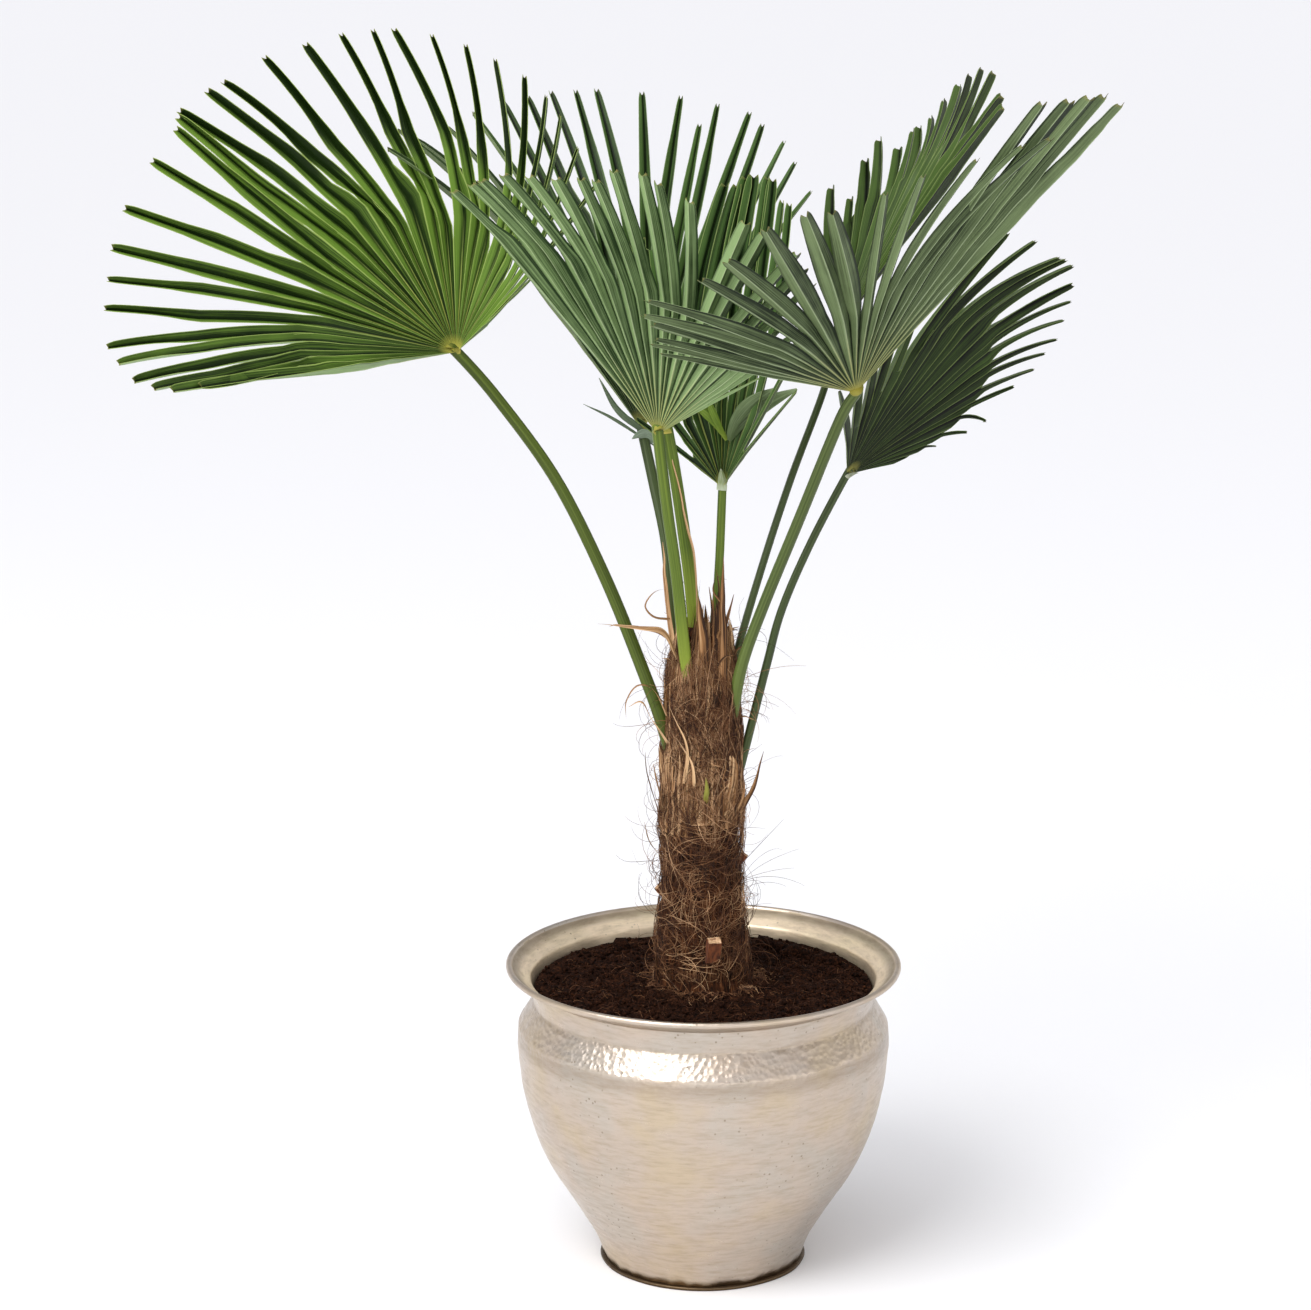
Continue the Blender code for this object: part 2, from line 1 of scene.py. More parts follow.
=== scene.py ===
"""A potted windmill palm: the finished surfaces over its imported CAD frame.

Lengths are metres, +Z is up and the front of the plant faces -Y. Nothing on the plant or its
pot moves, so every piece rides on the frame's one body.
"""

import logging
import math
import random
from collections.abc import Callable, Sequence
from dataclasses import dataclass, field
from enum import Enum
from functools import partial

import bpy
from mathutils import Matrix, Vector, noise


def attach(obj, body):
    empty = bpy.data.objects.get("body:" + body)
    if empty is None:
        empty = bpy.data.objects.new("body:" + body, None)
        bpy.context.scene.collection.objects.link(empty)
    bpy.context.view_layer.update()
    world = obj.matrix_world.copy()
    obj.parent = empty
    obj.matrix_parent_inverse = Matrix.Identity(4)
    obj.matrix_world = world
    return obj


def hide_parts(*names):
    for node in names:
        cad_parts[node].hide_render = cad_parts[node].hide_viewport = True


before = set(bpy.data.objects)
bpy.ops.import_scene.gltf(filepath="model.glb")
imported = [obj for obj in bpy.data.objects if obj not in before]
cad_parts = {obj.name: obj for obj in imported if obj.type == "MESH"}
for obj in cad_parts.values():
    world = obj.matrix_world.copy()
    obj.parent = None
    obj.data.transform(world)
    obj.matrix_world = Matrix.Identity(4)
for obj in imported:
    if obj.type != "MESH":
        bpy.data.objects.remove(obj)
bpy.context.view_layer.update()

LOG = logging.getLogger("windmill_palm")
BODY = "root"
NOISE_SEED = 7
Point = tuple[float, float, float]
Profile = list[tuple[float, float]]


class Side(Enum):
    """Side of a leaf that looks at the front of the plant."""

    UPPER = 1
    UNDER = -1


# Colours and nodes


def linear(hex_colour: str) -> tuple[float, float, float, float]:
    """Turn an sRGB hex colour into the linear one that shaders use.

    Args:
        hex_colour: Six hex digits.

    Returns:
        Red, green, blue and alpha.
    """
    channels = [int(hex_colour[i:i + 2], 16) / 255 for i in (0, 2, 4)]
    return (*(c / 12.92 if c <= 0.04045 else ((c + 0.055) / 1.055) ** 2.4 for c in channels), 1.0)


def feed(node: bpy.types.Node, inputs: dict | Sequence) -> None:
    """Give a node's inputs their values and links.

    Args:
        node: The node.
        inputs: A value, or the socket to link, for each input by name or number, or in order.
    """
    for key, value in inputs.items() if isinstance(inputs, dict) else enumerate(inputs):
        if isinstance(value, bpy.types.NodeSocket):
            node.id_data.links.new(value, node.inputs[key])
        else:
            node.inputs[key].default_value = value


def add_node(tree: bpy.types.NodeTree, kind: str, inputs: dict | Sequence = (),
             stops: Sequence[tuple[float, str]] = (), **settings: object) -> bpy.types.NodeOutputs:
    """Add a shader node with its settings, values and links.

    Args:
        tree: Node tree that gets the node.
        kind: Blender's name of the node's type, without "ShaderNode".
        inputs: What its inputs get.
        stops: Places and hex colours of a colour ramp.
        **settings: Properties of the node itself.

    Returns:
        The new node's outputs.
    """
    node = tree.nodes.new("ShaderNode" + kind)
    for name, value in settings.items():
        setattr(node, name, value)
    feed(node, inputs)
    if stops:
        ramp = node.color_ramp.elements
        ramp[0].position, ramp[0].color = stops[0][0], linear(stops[0][1])
        ramp[1].position, ramp[1].color = stops[-1][0], linear(stops[-1][1])
        for place, colour in stops[1:-1]:
            ramp.new(place).color = linear(colour)
    return node.outputs


def start_material(name: str) -> tuple[bpy.types.Material, bpy.types.Node, Callable]:
    """Start a material.

    Args:
        name: Name of the material.

    Returns:
        The material, its Principled shader and the function that adds a node to its tree.
    """
    material = bpy.data.materials.new(name)
    material.use_nodes = True
    return material, material.node_tree.nodes["Principled BSDF"], partial(add_node, material.node_tree)


def per_metre(millimetres: float) -> float:
    """Return the texture scale that repeats a pattern once in so many millimetres."""
    return 1000 / millimetres


# Finishes


@dataclass(frozen=True)
class LeafSkin:
    """Living palm leaf, grown: waxy skin over long fine veins, with long soft glints on it.

    The piece's UV map "leaf" counts leaflets along U and runs from hub to tip along V. The
    ribs are valleys on the upper side and the seams are on the underside. Leaflets past the
    number in "closed" are folded shut, and painted shade darkens them by "closed_by" from
    "closed_from" on.
    """

    name: str
    blade: str
    shade: str
    rib: str
    base: str
    tip: str
    roughness: float
    glow: float
    side: Side
    rib_width: float = 0.035
    closed: float = 99.0
    closed_from: float = 0.58
    closed_by: float = 1.1

    def material(self) -> bpy.types.Material:
        """Return the leaf's material.

        Returns:
            The material.
        """
        material, shader, add = start_material(self.name)
        place = add("SeparateXYZ", (add("UVMap", uv_map="leaf")[0],))
        leaflet = add("Math", (place[0],), operation="FLOOR")[0]
        tint = add("TexWhiteNoise", {"W": leaflet}, noise_dimensions="1D")[0]
        across = add("Math", (place[0], 0.5), operation="PINGPONG")[0]
        # Veins lie about 1 mm apart on a 25 mm leaflet
        grid = add("CombineXYZ", (add("Math", (place[0], 22.0), operation="MULTIPLY")[0],
                                  add("Math", (place[1], 2.2), operation="MULTIPLY")[0]))[0]
        veins = add("TexNoise", {"Vector": grid, "Scale": 1.0, "Detail": 3.0})[0]
        where = add("TexCoord")["Object"]
        cloud = add("TexNoise", {"Vector": where, "Scale": per_metre(40), "Detail": 4.0})[0]
        mottle = add("MapRange", (cloud, 0.35, 0.65, -0.07, 0.10))[0]
        tinted = add("Math", (tint, 0.34, mottle), operation="MULTIPLY_ADD")[0]
        vein_share = add("MapRange", (veins, 0.3, 0.7, -0.32, 0.45))[0]
        streaked = add("Math", (tinted, vein_share), operation="ADD")[0]
        # Painted light and shade: the first half of each leaflet is lighter and the second half darker, as
        # if lit from one side
        within = add("Math", (place[0],), operation="FRACT")[0]
        half = add("MapRange", (within, 0.48, 0.52, -0.16, 0.40))[0]
        # Painted shade darkens the leaflets folded shut, from "closed_from" of their length on
        shut = add("MapRange", (place[0], self.closed, self.closed + 4, 0.0, self.closed_by))[0]
        end = add("MapRange", (place[1], self.closed_from, self.closed_from + 0.16))[0]
        half = add("Math", (shut, end, half), operation="MULTIPLY_ADD")[0]
        streaked = add("Math", (streaked, half), operation="ADD")[0]
        # Near the hub the pleats are narrow and shade one another
        inner = add("MapRange", (place[1], 0.05, 0.40, 0.28, 0.0))[0]
        streaked = add("Math", (streaked, inner), operation="ADD")[0]
        # Painted shade darkens the valleys: they lie at the ribs on the upper side and at the seams
        # underneath
        ends = (0.28, 0.46, 0.0, 0.85) if self.side is Side.UPPER else (0.0, 0.14, 0.75, 0.0)
        valley_shade = add("MapRange", (across, *ends))[0]
        dark = add("Math", (streaked, valley_shade), operation="ADD", use_clamp=True)[0]
        skin = add("Mix", {0: dark, 6: linear(self.blade), 7: linear(self.shade)}, data_type="RGBA")[2]
        # A rib stays about 1.5 mm wide, so it takes more of a leaflet near the hub
        width = add("MapRange", (place[1], 0.0, 0.5, 0.5 - self.rib_width * 4.0, 0.5 - self.rib_width))[0]
        rib = add("MapRange", (across, width, 0.5, 0.0, 0.8))[0]
        # On the upper side the ribs lie in shade further out, and the edges catch the light instead
        pale = rib
        if self.side is Side.UPPER:
            edge = add("MapRange", (across, 0.01, 0.05, 0.75, 0.0))[0]
            shown = add("MapRange", (place[1], 0.25, 0.45, 1.0, 0.0))[0]
            kept = add("Math", (rib, shown), operation="MULTIPLY")[0]
            pale = add("Math", (kept, edge), operation="MAXIMUM")[0]
        ribbed = add("Mix", {0: pale, 6: skin, 7: linear(self.rib)}, data_type="RGBA")[2]
        yellow = add("MapRange", (place[1], 0.03, 0.34, 1.0, 0.0))[0]
        lines = add("Math", (yellow, rib), operation="MULTIPLY")[0]
        near = add("MapRange", (place[1], 0.006, 0.045, 0.9, 0.0))[0]
        share = add("Math", (lines, near), operation="MAXIMUM")[0]
        based = add("Mix", {0: share, 6: ribbed, 7: linear(self.base)}, data_type="RGBA")[2]
        far = add("MapRange", (place[1], 0.988, 1.0, 0.0, 0.6))[0]
        colour = add("Mix", {0: far, 6: based, 7: linear(self.tip)}, data_type="RGBA")[2]
        bump = add("Bump", {"Strength": 0.7, "Distance": 0.0005, "Height": veins})[0]
        gloss = add("MapRange", (cloud, 0.3, 0.7, self.roughness - 0.06, self.roughness + 0.08))[0]
        feed(shader, {"Base Color": colour, "Roughness": gloss, "Normal": bump, "IOR": 1.45,
                      "Specular IOR Level": 0.22})
        through = add("BsdfTranslucent", {"Color": colour})[0]
        mixed = add("MixShader", (self.glow, shader.outputs[0], through))[0]
        feed(material.node_tree.nodes["Material Output"], {"Surface": mixed})
        return material


@dataclass(frozen=True)
class StemSkin:
    """Leaf stem, grown: smooth green rind with fine lines along it and a paler end at the hub.

    The piece's UV map "leaf" runs round the stem along U and from trunk to hub along V.
    """

    name: str
    foot: str
    body: str
    shade: str
    head: str

    def material(self) -> bpy.types.Material:
        """Return the stem's material.

        Returns:
            The material.
        """
        material, shader, add = start_material(self.name)
        place = add("SeparateXYZ", (add("UVMap", uv_map="leaf")[0],))
        # Lines about 1.5 mm apart round a stem of 40 mm girth
        grid = add("CombineXYZ", (add("Math", (place[0], 24.0), operation="MULTIPLY")[0],
                                  add("Math", (place[1], 2.0), operation="MULTIPLY")[0]))[0]
        lines = add("TexNoise", {"Vector": grid, "Scale": 1.0, "Detail": 3.0})[0]
        share = add("MapRange", (lines, 0.3, 0.7))[0]
        rind = add("Mix", {0: share, 6: linear(self.body), 7: linear(self.shade)}, data_type="RGBA")[2]
        low = add("MapRange", (place[1], 0.0, 0.35, 1.0, 0.0))[0]
        footed = add("Mix", {0: low, 6: rind, 7: linear(self.foot)}, data_type="RGBA")[2]
        high = add("MapRange", (place[1], 0.90, 1.0, 0.0, 1.0))[0]
        colour = add("Mix", {0: high, 6: footed, 7: linear(self.head)}, data_type="RGBA")[2]
        bump = add("Bump", {"Strength": 0.4, "Distance": 0.0004, "Height": lines})[0]
        feed(shader, {"Base Color": colour, "Normal": bump, "Roughness": 0.42, "IOR": 1.45,
                      "Specular IOR Level": 0.2})
        return material


@dataclass(frozen=True)
class DriedSkin:
    """Dead palm leaf base, sun-dried: papery tan skin with dark fibres along it, quite dull.

    The piece's UV map "leaf" runs across the strip along U and from root to point along V, and
    its attribute "tone" tells one strip from the next.
    """

    name: str
    pale: str
    dark: str
    deep: str

    def material(self) -> bpy.types.Material:
        """Return the dried leaf's material.

        Returns:
            The material.
        """
        material, shader, add = start_material(self.name)
        place = add("SeparateXYZ", (add("UVMap", uv_map="leaf")[0],))
        tone = add("Attribute", attribute_name="tone")["Fac"]
        # Fibres about 0.8 mm apart on a strip 12 mm wide
        grid = add("CombineXYZ", (add("Math", (place[0], 22.0), operation="MULTIPLY")[0],
                                  add("Math", (place[1], 2.5), operation="MULTIPLY")[0],
                                  add("Math", (tone, 40.0), operation="MULTIPLY")[0]))[0]
        fibres = add("TexNoise", {"Vector": grid, "Scale": 1.0, "Detail": 4.0})[0]
        # Broader light and dark lanes about 4 mm wide
        lanes = add("TexNoise", {"Vector": grid, "Scale": 0.14})[0]
        lane_share = add("MapRange", (lanes, 0.35, 0.65, -0.26, 0.26))[0]
        laned = add("Math", (fibres, lane_share), operation="ADD")[0]
        share = add("Math", (tone, 0.55, laned), operation="MULTIPLY_ADD")[0]
        ramp = add("ValToRGB", (share,), stops=((0.38, self.deep), (0.62, self.dark), (0.98, self.pale)))[0]
        bump = add("Bump", {"Strength": 0.8, "Distance": 0.0006, "Height": fibres})[0]
        feed(shader, {"Base Color": ramp, "Normal": bump, "Roughness": 0.72, "IOR": 1.45,
                      "Specular IOR Level": 0.25})
        return material


@dataclass(frozen=True)
class FibreSkin:
    """Palm trunk fibre, grown and weathered: coarse brown hair, dull, darker inside the coat.

    The piece's attribute "tone" gives each hair its own brown.
    """

    name: str
    stops: tuple[tuple[float, str], ...]

    def material(self) -> bpy.types.Material:
        """Return the fibre's material.

        Returns:
            The material.
        """
        material, shader, add = start_material(self.name)
        tone = add("Attribute", attribute_name="tone")["Fac"]
        where = add("TexCoord")["Object"]
        grime = add("TexNoise", {"Vector": where, "Scale": per_metre(18), "Detail": 3.0})[0]
        drift = add("MapRange", (grime, 0.3, 0.7, -0.18, 0.18))[0]
        share = add("Math", (tone, drift), operation="ADD", use_clamp=True)[0]
        colour = add("ValToRGB", (share,), stops=self.stops)[0]
        feed(shader, {"Base Color": colour, "Roughness": 0.7, "IOR": 1.5, "Specular IOR Level": 0.25})
        return material


@dataclass(frozen=True)
class MatSkin:
    """Woven fibre mat of the trunk: matted brown hair in crossing slants, rough; its browns are darkened as
    painted shade so that the gaps look deep.
    """

    name: str = "palm_fibre_matted"

    def material(self) -> bpy.types.Material:
        """Return the mat's material.

        Returns:
            The material.
        """
        material, shader, add = start_material(self.name)
        where = add("TexCoord")["Object"]
        lanes = []
        # Hairs of 1 mm drawn 1.6 mm wide, so that they show; two slants that cross
        for slant in (-0.6, 0.6):
            turned = add("Mapping", {"Vector": where, "Rotation": (0.0, slant, 0.4),
                                     "Scale": (1.0, 1.0, 0.16)})[0]
            lanes.append(add("TexNoise", {"Vector": turned, "Scale": per_metre(3.2), "Detail": 3.0})[0])
        both = add("Math", (lanes[0], lanes[1]), operation="MAXIMUM")[0]
        # The dark browns are partly the mat's own colour and partly painted shade, so that the gaps between
        # the hairs look deep
        colour = add("ValToRGB", (both,), stops=((0.42, "120a05"), (0.58, "3a1f10"), (0.74, "6c452a")))[0]
        bump = add("Bump", {"Strength": 1.0, "Distance": 0.0015, "Height": both})[0]
        feed(shader, {"Base Color": colour, "Normal": bump, "Roughness": 0.9, "IOR": 1.5,
                      "Specular IOR Level": 0.1})
        return material


@dataclass(frozen=True)
class WoodSkin:
    """Cut leaf stub, sawn: dry pith with coarse pores, orange-brown sides and a pale cut."""

    name: str
    light: str
    dark: str

    def material(self) -> bpy.types.Material:
        """Return the stub's material.

        Returns:
            The material.
        """
        material, shader, add = start_material(self.name)
        where = add("TexCoord")["Object"]
        grain = add("Mapping", {"Vector": where, "Scale": (1.0, 1.0, 0.2)})[0]
        pores = add("TexNoise", {"Vector": grain, "Scale": per_metre(2.5), "Detail": 4.0})[0]
        colour = add("ValToRGB", (pores,), stops=((0.35, self.dark), (0.62, self.light)))[0]
        bump = add("Bump", {"Strength": 0.7, "Distance": 0.0005, "Height": pores})[0]
        feed(shader, {"Base Color": colour, "Normal": bump, "Roughness": 0.8, "IOR": 1.5})
        return material


@dataclass(frozen=True)
class PeatSkin:
    """Moist peat, crumbled: near-black brown with paler specks, dull with small damp glints."""

    name: str = "peat_crumbled"
    stops: tuple[tuple[float, str], ...] = (
        (0.48, "060201"), (0.66, "170a05"), (0.84, "2f190e"), (1.0, "4c2e1c"))

    def material(self) -> bpy.types.Material:
        """Return the peat's material.

        Returns:
            The material.
        """
        material, shader, add = start_material(self.name)
        where = add("TexCoord")["Object"]
        fine = add("TexNoise", {"Vector": where, "Scale": per_metre(2.2), "Detail": 5.0})[0]
        coarse = add("TexNoise", {"Vector": where, "Scale": per_metre(14), "Detail": 3.0})[0]
        grains = add("TexVoronoi", {"Vector": where, "Scale": per_metre(2.6)})["Distance"]
        share = add("Math", (coarse, 0.45, fine), operation="MULTIPLY_ADD")[0]
        colour = add("ValToRGB", (share,), stops=self.stops)[0]
        height = add("Math", (grains, fine), operation="ADD")[0]
        bump = add("Bump", {"Strength": 0.9, "Distance": 0.0012, "Height": height})[0]
        feed(shader, {"Base Color": colour, "Normal": bump, "Roughness": 0.9, "IOR": 1.33,
                      "Specular IOR Level": 0.12})
        return material


@dataclass(frozen=True)
class HammeredMetal:
    """White metal sheet, hammered and washed with a warm patina: broken satin reflections.

    Hammer marks are deepest on the shoulder, and tarnish lies in the folds and at the foot; the band just
    under the crest is painted shade in the tarnish colour.

    Attributes:
        name: Name of the material.
        wash: Warm, plain and cool tint of the metal.
        stain: Colour of the fine streaks.
        tarnish: Colour of the folds, pits and spots, and of the painted shade under the crest.
        spots: Share of the surface that is spotted.
        rough: Lowest and highest roughness.
        inside: Whether it lines the pot, where the lip has a dark groove under its bead.
    """

    name: str
    wash: tuple[str, str, str]
    stain: str
    tarnish: str
    spots: float
    rough: tuple[float, float]
    inside: bool = False

    def material(self) -> bpy.types.Material:
        """Return the metal's material.

        Returns:
            The material.
        """
        material, shader, add = start_material(self.name)
        where = add("TexCoord")["Object"]
        height = add("SeparateXYZ", (where,))[2]
        level = add("MapRange", (height, 0.0, 0.32))[0]
        # Hammer marks about 5 mm across
        marks = add("TexVoronoi", {"Vector": where, "Scale": per_metre(5.5), "Smoothness": 0.4},
                    feature="SMOOTH_F1")["Distance"]
        dashes = add("Mapping", {"Vector": where, "Scale": (1.0, 1.0, 0.35)})[0]
        ripple = add("TexNoise", {"Vector": dashes, "Scale": per_metre(7), "Detail": 2.0})[0]
        flat = add("Mapping", {"Vector": where, "Scale": (1.0, 1.0, 6.0)})[0]
        streaks = add("TexNoise", {"Vector": flat, "Scale": per_metre(22), "Detail": 6.0,
                                   "Roughness": 0.65})[0]
        clouds = add("TexNoise", {"Vector": where, "Scale": per_metre(70), "Detail": 4.0})[0]
        # Only the shoulder, between neck and crest, keeps its full hammer marks
        deep = add("ValToRGB", (level,), stops=((0.0, "a0a0a0"), (0.10, "787878"), (0.30, "505050"),
                                                (0.73, "3c3c3c"), (0.785, "e8e8e8"), (0.855, "e8e8e8"),
                                                (0.87, "707070"), (1.0, "505050")))[0]
        dented = add("Bump", {"Strength": deep, "Distance": 0.0010, "Height": marks})[0]
        rippled = add("Bump", {"Strength": 0.30, "Distance": 0.0012, "Height": ripple, "Normal": dented})[0]
        brushed = add("Bump", {"Strength": 0.15, "Distance": 0.0004, "Height": streaks,
                               "Normal": rippled})[0]
        wash = add("ValToRGB", (clouds,), stops=((0.34, self.wash[0]), (0.50, self.wash[1]),
                                                 (0.66, self.wash[2])))[0]
        stain = add("MapRange", (streaks, 0.44, 0.72, 0.0, 0.48))[0]
        stained = add("Mix", {0: stain, 6: wash, 7: linear(self.stain)}, data_type="RGBA")[2]
        # Spots of tarnish about 1.5 mm across, where a broad noise lets them
        grit = add("TexVoronoi", {"Vector": where, "Scale": per_metre(7)})["Distance"]
        dots = add("MapRange", (grit, 0.10, 0.20, 1.0, 0.0))[0]
        allowed = add("MapRange", (clouds, 0.62 - self.spots, 0.72 - self.spots, 0.0, 0.55))[0]
        spotted = add("Math", (dots, allowed), operation="MULTIPLY")[0]
        if self.inside:
            folds = add("ValToRGB", (level,), stops=((0.85, "b0b0b0"), (0.915, "909090"), (0.935, "181818"),
                                                     (0.952, "101010"), (0.966, "c8c8c8"),
                                                     (0.975, "d8d8d8"), (0.984, "202020"), (1.0, "000000")))
        else:
            # Outside: tarnish at the foot and in a thin line under the neck, and painted shade in a band
            # just under the crest
            folds = add("ValToRGB", (level,), stops=((0.0, "ffffff"), (0.019, "e0e0e0"), (0.034, "202020"),
                                                     (0.30, "000000"), (0.715, "080808"), (0.745, "8c8c8c"),
                                                     (0.766, "909090"), (0.785, "181818"),
                                                     (0.842, "202020"), (0.859, "909090"),
                                                     (0.868, "141414"), (1.0, "000000")))
        # Folds, spots and the painted shade under the crest all take the tarnish colour
        worn = add("Math", (folds[0], spotted), operation="MAXIMUM")[0]
        colour = add("Mix", {0: worn, 6: stained, 7: linear(self.tarnish)}, data_type="RGBA")[2]
        gloss = add("MapRange", (streaks, 0.3, 0.7, self.rough[0], self.rough[1]))[0]
        # Grime dulls the lining, so it is lit like paint as well
        feed(shader, {"Base Color": colour, "Roughness": gloss, "Normal": brushed,
                      "Metallic": 0.75 if self.inside else 1.0})
        return material


@dataclass(frozen=True)
class StudioPaint:
    """Matt studio floor, painted: even near-white that only takes soft shadows."""

    name: str = "studio_paint_matt"
    colour: str = "eeeeef"

    def material(self) -> bpy.types.Material:
        """Return the floor's material.

        Returns:
            The material.
        """
        material, shader, _ = start_material(self.name)
        feed(shader, {"Base Color": linear(self.colour), "Roughness": 1.0, "Specular IOR Level": 0.0})
        return material


@dataclass(frozen=True)
class Lens:
    """The photograph's camera, which tells where in the picture a point shows."""

    place: Point = (-0.0485, -3.5, 1.444)
    pitch: float = math.radians(13.06)
    focal: float = 3616.0
    width: float = 1311.0
    centre: tuple[float, float] = (655.5, 655.0)

    def axes(self) -> tuple[Vector, Vector, Vector]:
        """Return the directions to the right of the picture, up it and into it."""
        level, steep = math.cos(self.pitch), math.sin(self.pitch)
        return Vector((1.0, 0.0, 0.0)), Vector((0.0, steep, level)), Vector((0.0, level, -steep))

    def pixel(self, point: Vector) -> Vector:
        """Return the pixel in which a point shows.

        Args:
            point: A point.

        Returns:
            Its place in the picture.
        """
        right, up, ahead = self.axes()
        away = point - Vector(self.place)
        scale = self.focal / away.dot(ahead)
        return Vector((self.centre[0] + away.dot(right) * scale, self.centre[1] - away.dot(up) * scale))

    def point(self, x: float, y: float, depth: float) -> Vector:
        """Return the point that shows in a pixel and lies at a depth along +Y.

        Args:
            x: Place across the picture.
            y: Place down the picture.
            depth: Place along +Y.

        Returns:
            The point.
        """
        right, up, ahead = self.axes()
        ray = right * ((x - self.centre[0]) / self.focal) + up * ((self.centre[1] - y) / self.focal) + ahead
        place = Vector(self.place)
        return place + ray * ((depth - place.y) / ray.y)


# Shapes


def deselect_all() -> None:
    """Leave nothing selected, so that an operator acts on the new piece alone."""
    bpy.ops.object.select_all(action="DESELECT")


def select_only(piece: bpy.types.Object) -> None:
    """Select one object and make it the active one.

    Args:
        piece: The piece.
    """
    deselect_all()
    piece.select_set(True)
    bpy.context.view_layer.objects.active = piece


def smooth_path(points: Sequence[Point], count: int) -> list[Vector]:
    """Run a smooth curve through some points.

    Args:
        points: Points that the curve passes.
        count: How many points to return.

    Returns:
        Points along the curve, evenly spread between the given ones.
    """
    knots = [Vector(p) for p in points]
    knots = [knots[0] * 2 - knots[1]] + knots + [knots[-1] * 2 - knots[-2]]
    spans = len(knots) - 3
    result = []
    for i in range(count):
        place = i * spans / (count - 1)
        span = min(int(place), spans - 1)
        t = place - span
        a, b, c, d = knots[span:span + 4]
        result.append(0.5 * (2 * b + (c - a) * t + (2 * a - 5 * b + 4 * c - d) * t * t
                             + (3 * b - a - 3 * c + d) * t ** 3))
    return result


def split_long(profile: Profile, longest: float) -> Profile:
    """Put more points on a profile's long straight stretches.

    Args:
        profile: Radius and height of each point.
        longest: Longest stretch that stays whole.

    Returns:
        The profile with its extra points.
    """
    result = [profile[0]]
    for (r0, z0), (r1, z1) in zip(profile, profile[1:]):
        count = max(1, math.ceil(math.hypot(r1 - r0, z1 - z0) / longest))
        result += [(r0 + (r1 - r0) * i / count, z0 + (z1 - z0) * i / count) for i in range(1, count + 1)]
    return result


def ease_corners(profile: Profile, reach: float) -> Profile:
    """Round the corners of a profile.

    Args:
        profile: Radius and height of each point.
        reach: How far from a corner its rounding starts.

    Returns:
        The profile with each inner corner replaced by five points on a small curve.
    """
    result = [profile[0]]
    for before, corner, after in zip(profile, profile[1:], profile[2:]):
        b, c, a = Vector(before), Vector(corner), Vector(after)
        start = c + (b - c).normalized() * min(reach, (b - c).length / 2)
        end = c + (a - c).normalized() * min(reach, (a - c).length / 2)
        for i in range(5):
            t = i / 4
            result.append(tuple(start * (1 - t) ** 2 + c * 2 * t * (1 - t) + end * t * t))
    return result + [profile[-1]]


def move_inward(profile: Profile, distance: float) -> Profile:
    """Move a profile towards the axis, square to itself.

    Args:
        profile: Radius and height of each point, top to bottom.
        distance: How far to move it.

    Returns:
        The moved profile.
    """
    moved = []
    for i, (r, z) in enumerate(profile):
        before, after = profile[max(i - 1, 0)], profile[min(i + 1, len(profile) - 1)]
        dr, dz = after[0] - before[0], after[1] - before[1]
        length = math.hypot(dr, dz)
        moved.append((r + dz / length * distance, z - dr / length * distance))
    return moved


def raise_rings(name: str, profile: Profile, steps: int, capped: bool) -> bpy.types.Object:
    """Raise a round piece from a circle, by extruding and resizing it ring by ring.

    Args:
        name: Name of the piece.
        profile: Radius and height of each ring.
        steps: Points round each ring.
        capped: Whether both ends are closed; otherwise the last ring meets the first.

    Returns:
        The new piece, with its normals outward.
    """
    deselect_all()
    radius, height = profile[0]
    bpy.ops.mesh.primitive_circle_add(vertices=steps, radius=radius, location=(0.0, 0.0, height),
                                      fill_type="NGON" if capped else "NOTHING")
    piece = bpy.context.object
    piece.name = piece.data.name = name
    bpy.ops.object.transform_apply(location=True, rotation=True, scale=True)
    bpy.ops.object.mode_set(mode="EDIT")
    bpy.ops.mesh.select_all(action="SELECT")
    for (r0, z0), (r1, z1) in zip(profile, profile[1:]):
        bpy.ops.mesh.extrude_region_move(TRANSFORM_OT_translate={"value": (0.0, 0.0, z1 - z0)})
        bpy.ops.transform.resize(value=(r1 / r0, r1 / r0, 1.0), center_override=(0.0, 0.0, 0.0))
    bpy.ops.mesh.select_all(action="SELECT")
    bpy.ops.mesh.remove_doubles(threshold=0.00001)
    bpy.ops.mesh.normals_make_consistent(inside=False)
    bpy.ops.object.mode_set(mode="OBJECT")
    return piece


def mesh_piece(name: str, vertices: list[Vector], faces: list[tuple[int, ...]],
               corners: list[tuple[float, float]]) -> bpy.types.Object:
    """Make a piece from vertices and faces, where no operator gives its form.

    Args:
        name: Name of the piece.
        vertices: Places of the vertices.
        faces: Vertices of each face.
        corners: A UV place for each corner of each face, in order.

    Returns:
        The new piece.
    """
    mesh = bpy.data.meshes.new(name)
    mesh.from_pydata([tuple(v) for v in vertices], [], faces)
    layer = mesh.uv_layers.new(name="leaf")
    layer.data.foreach_set("uv", [value for pair in corners for value in pair])
    piece = bpy.data.objects.new(name, mesh)
    bpy.context.scene.collection.objects.link(piece)
    return piece


def face_outward(piece: bpy.types.Object) -> None:
    """Turn the faces of a closed piece outward.

    Args:
        piece: The piece.
    """
    select_only(piece)
    bpy.ops.object.mode_set(mode="EDIT")
    bpy.ops.mesh.select_all(action="SELECT")
    bpy.ops.mesh.normals_make_consistent(inside=False)
    bpy.ops.object.mode_set(mode="OBJECT")


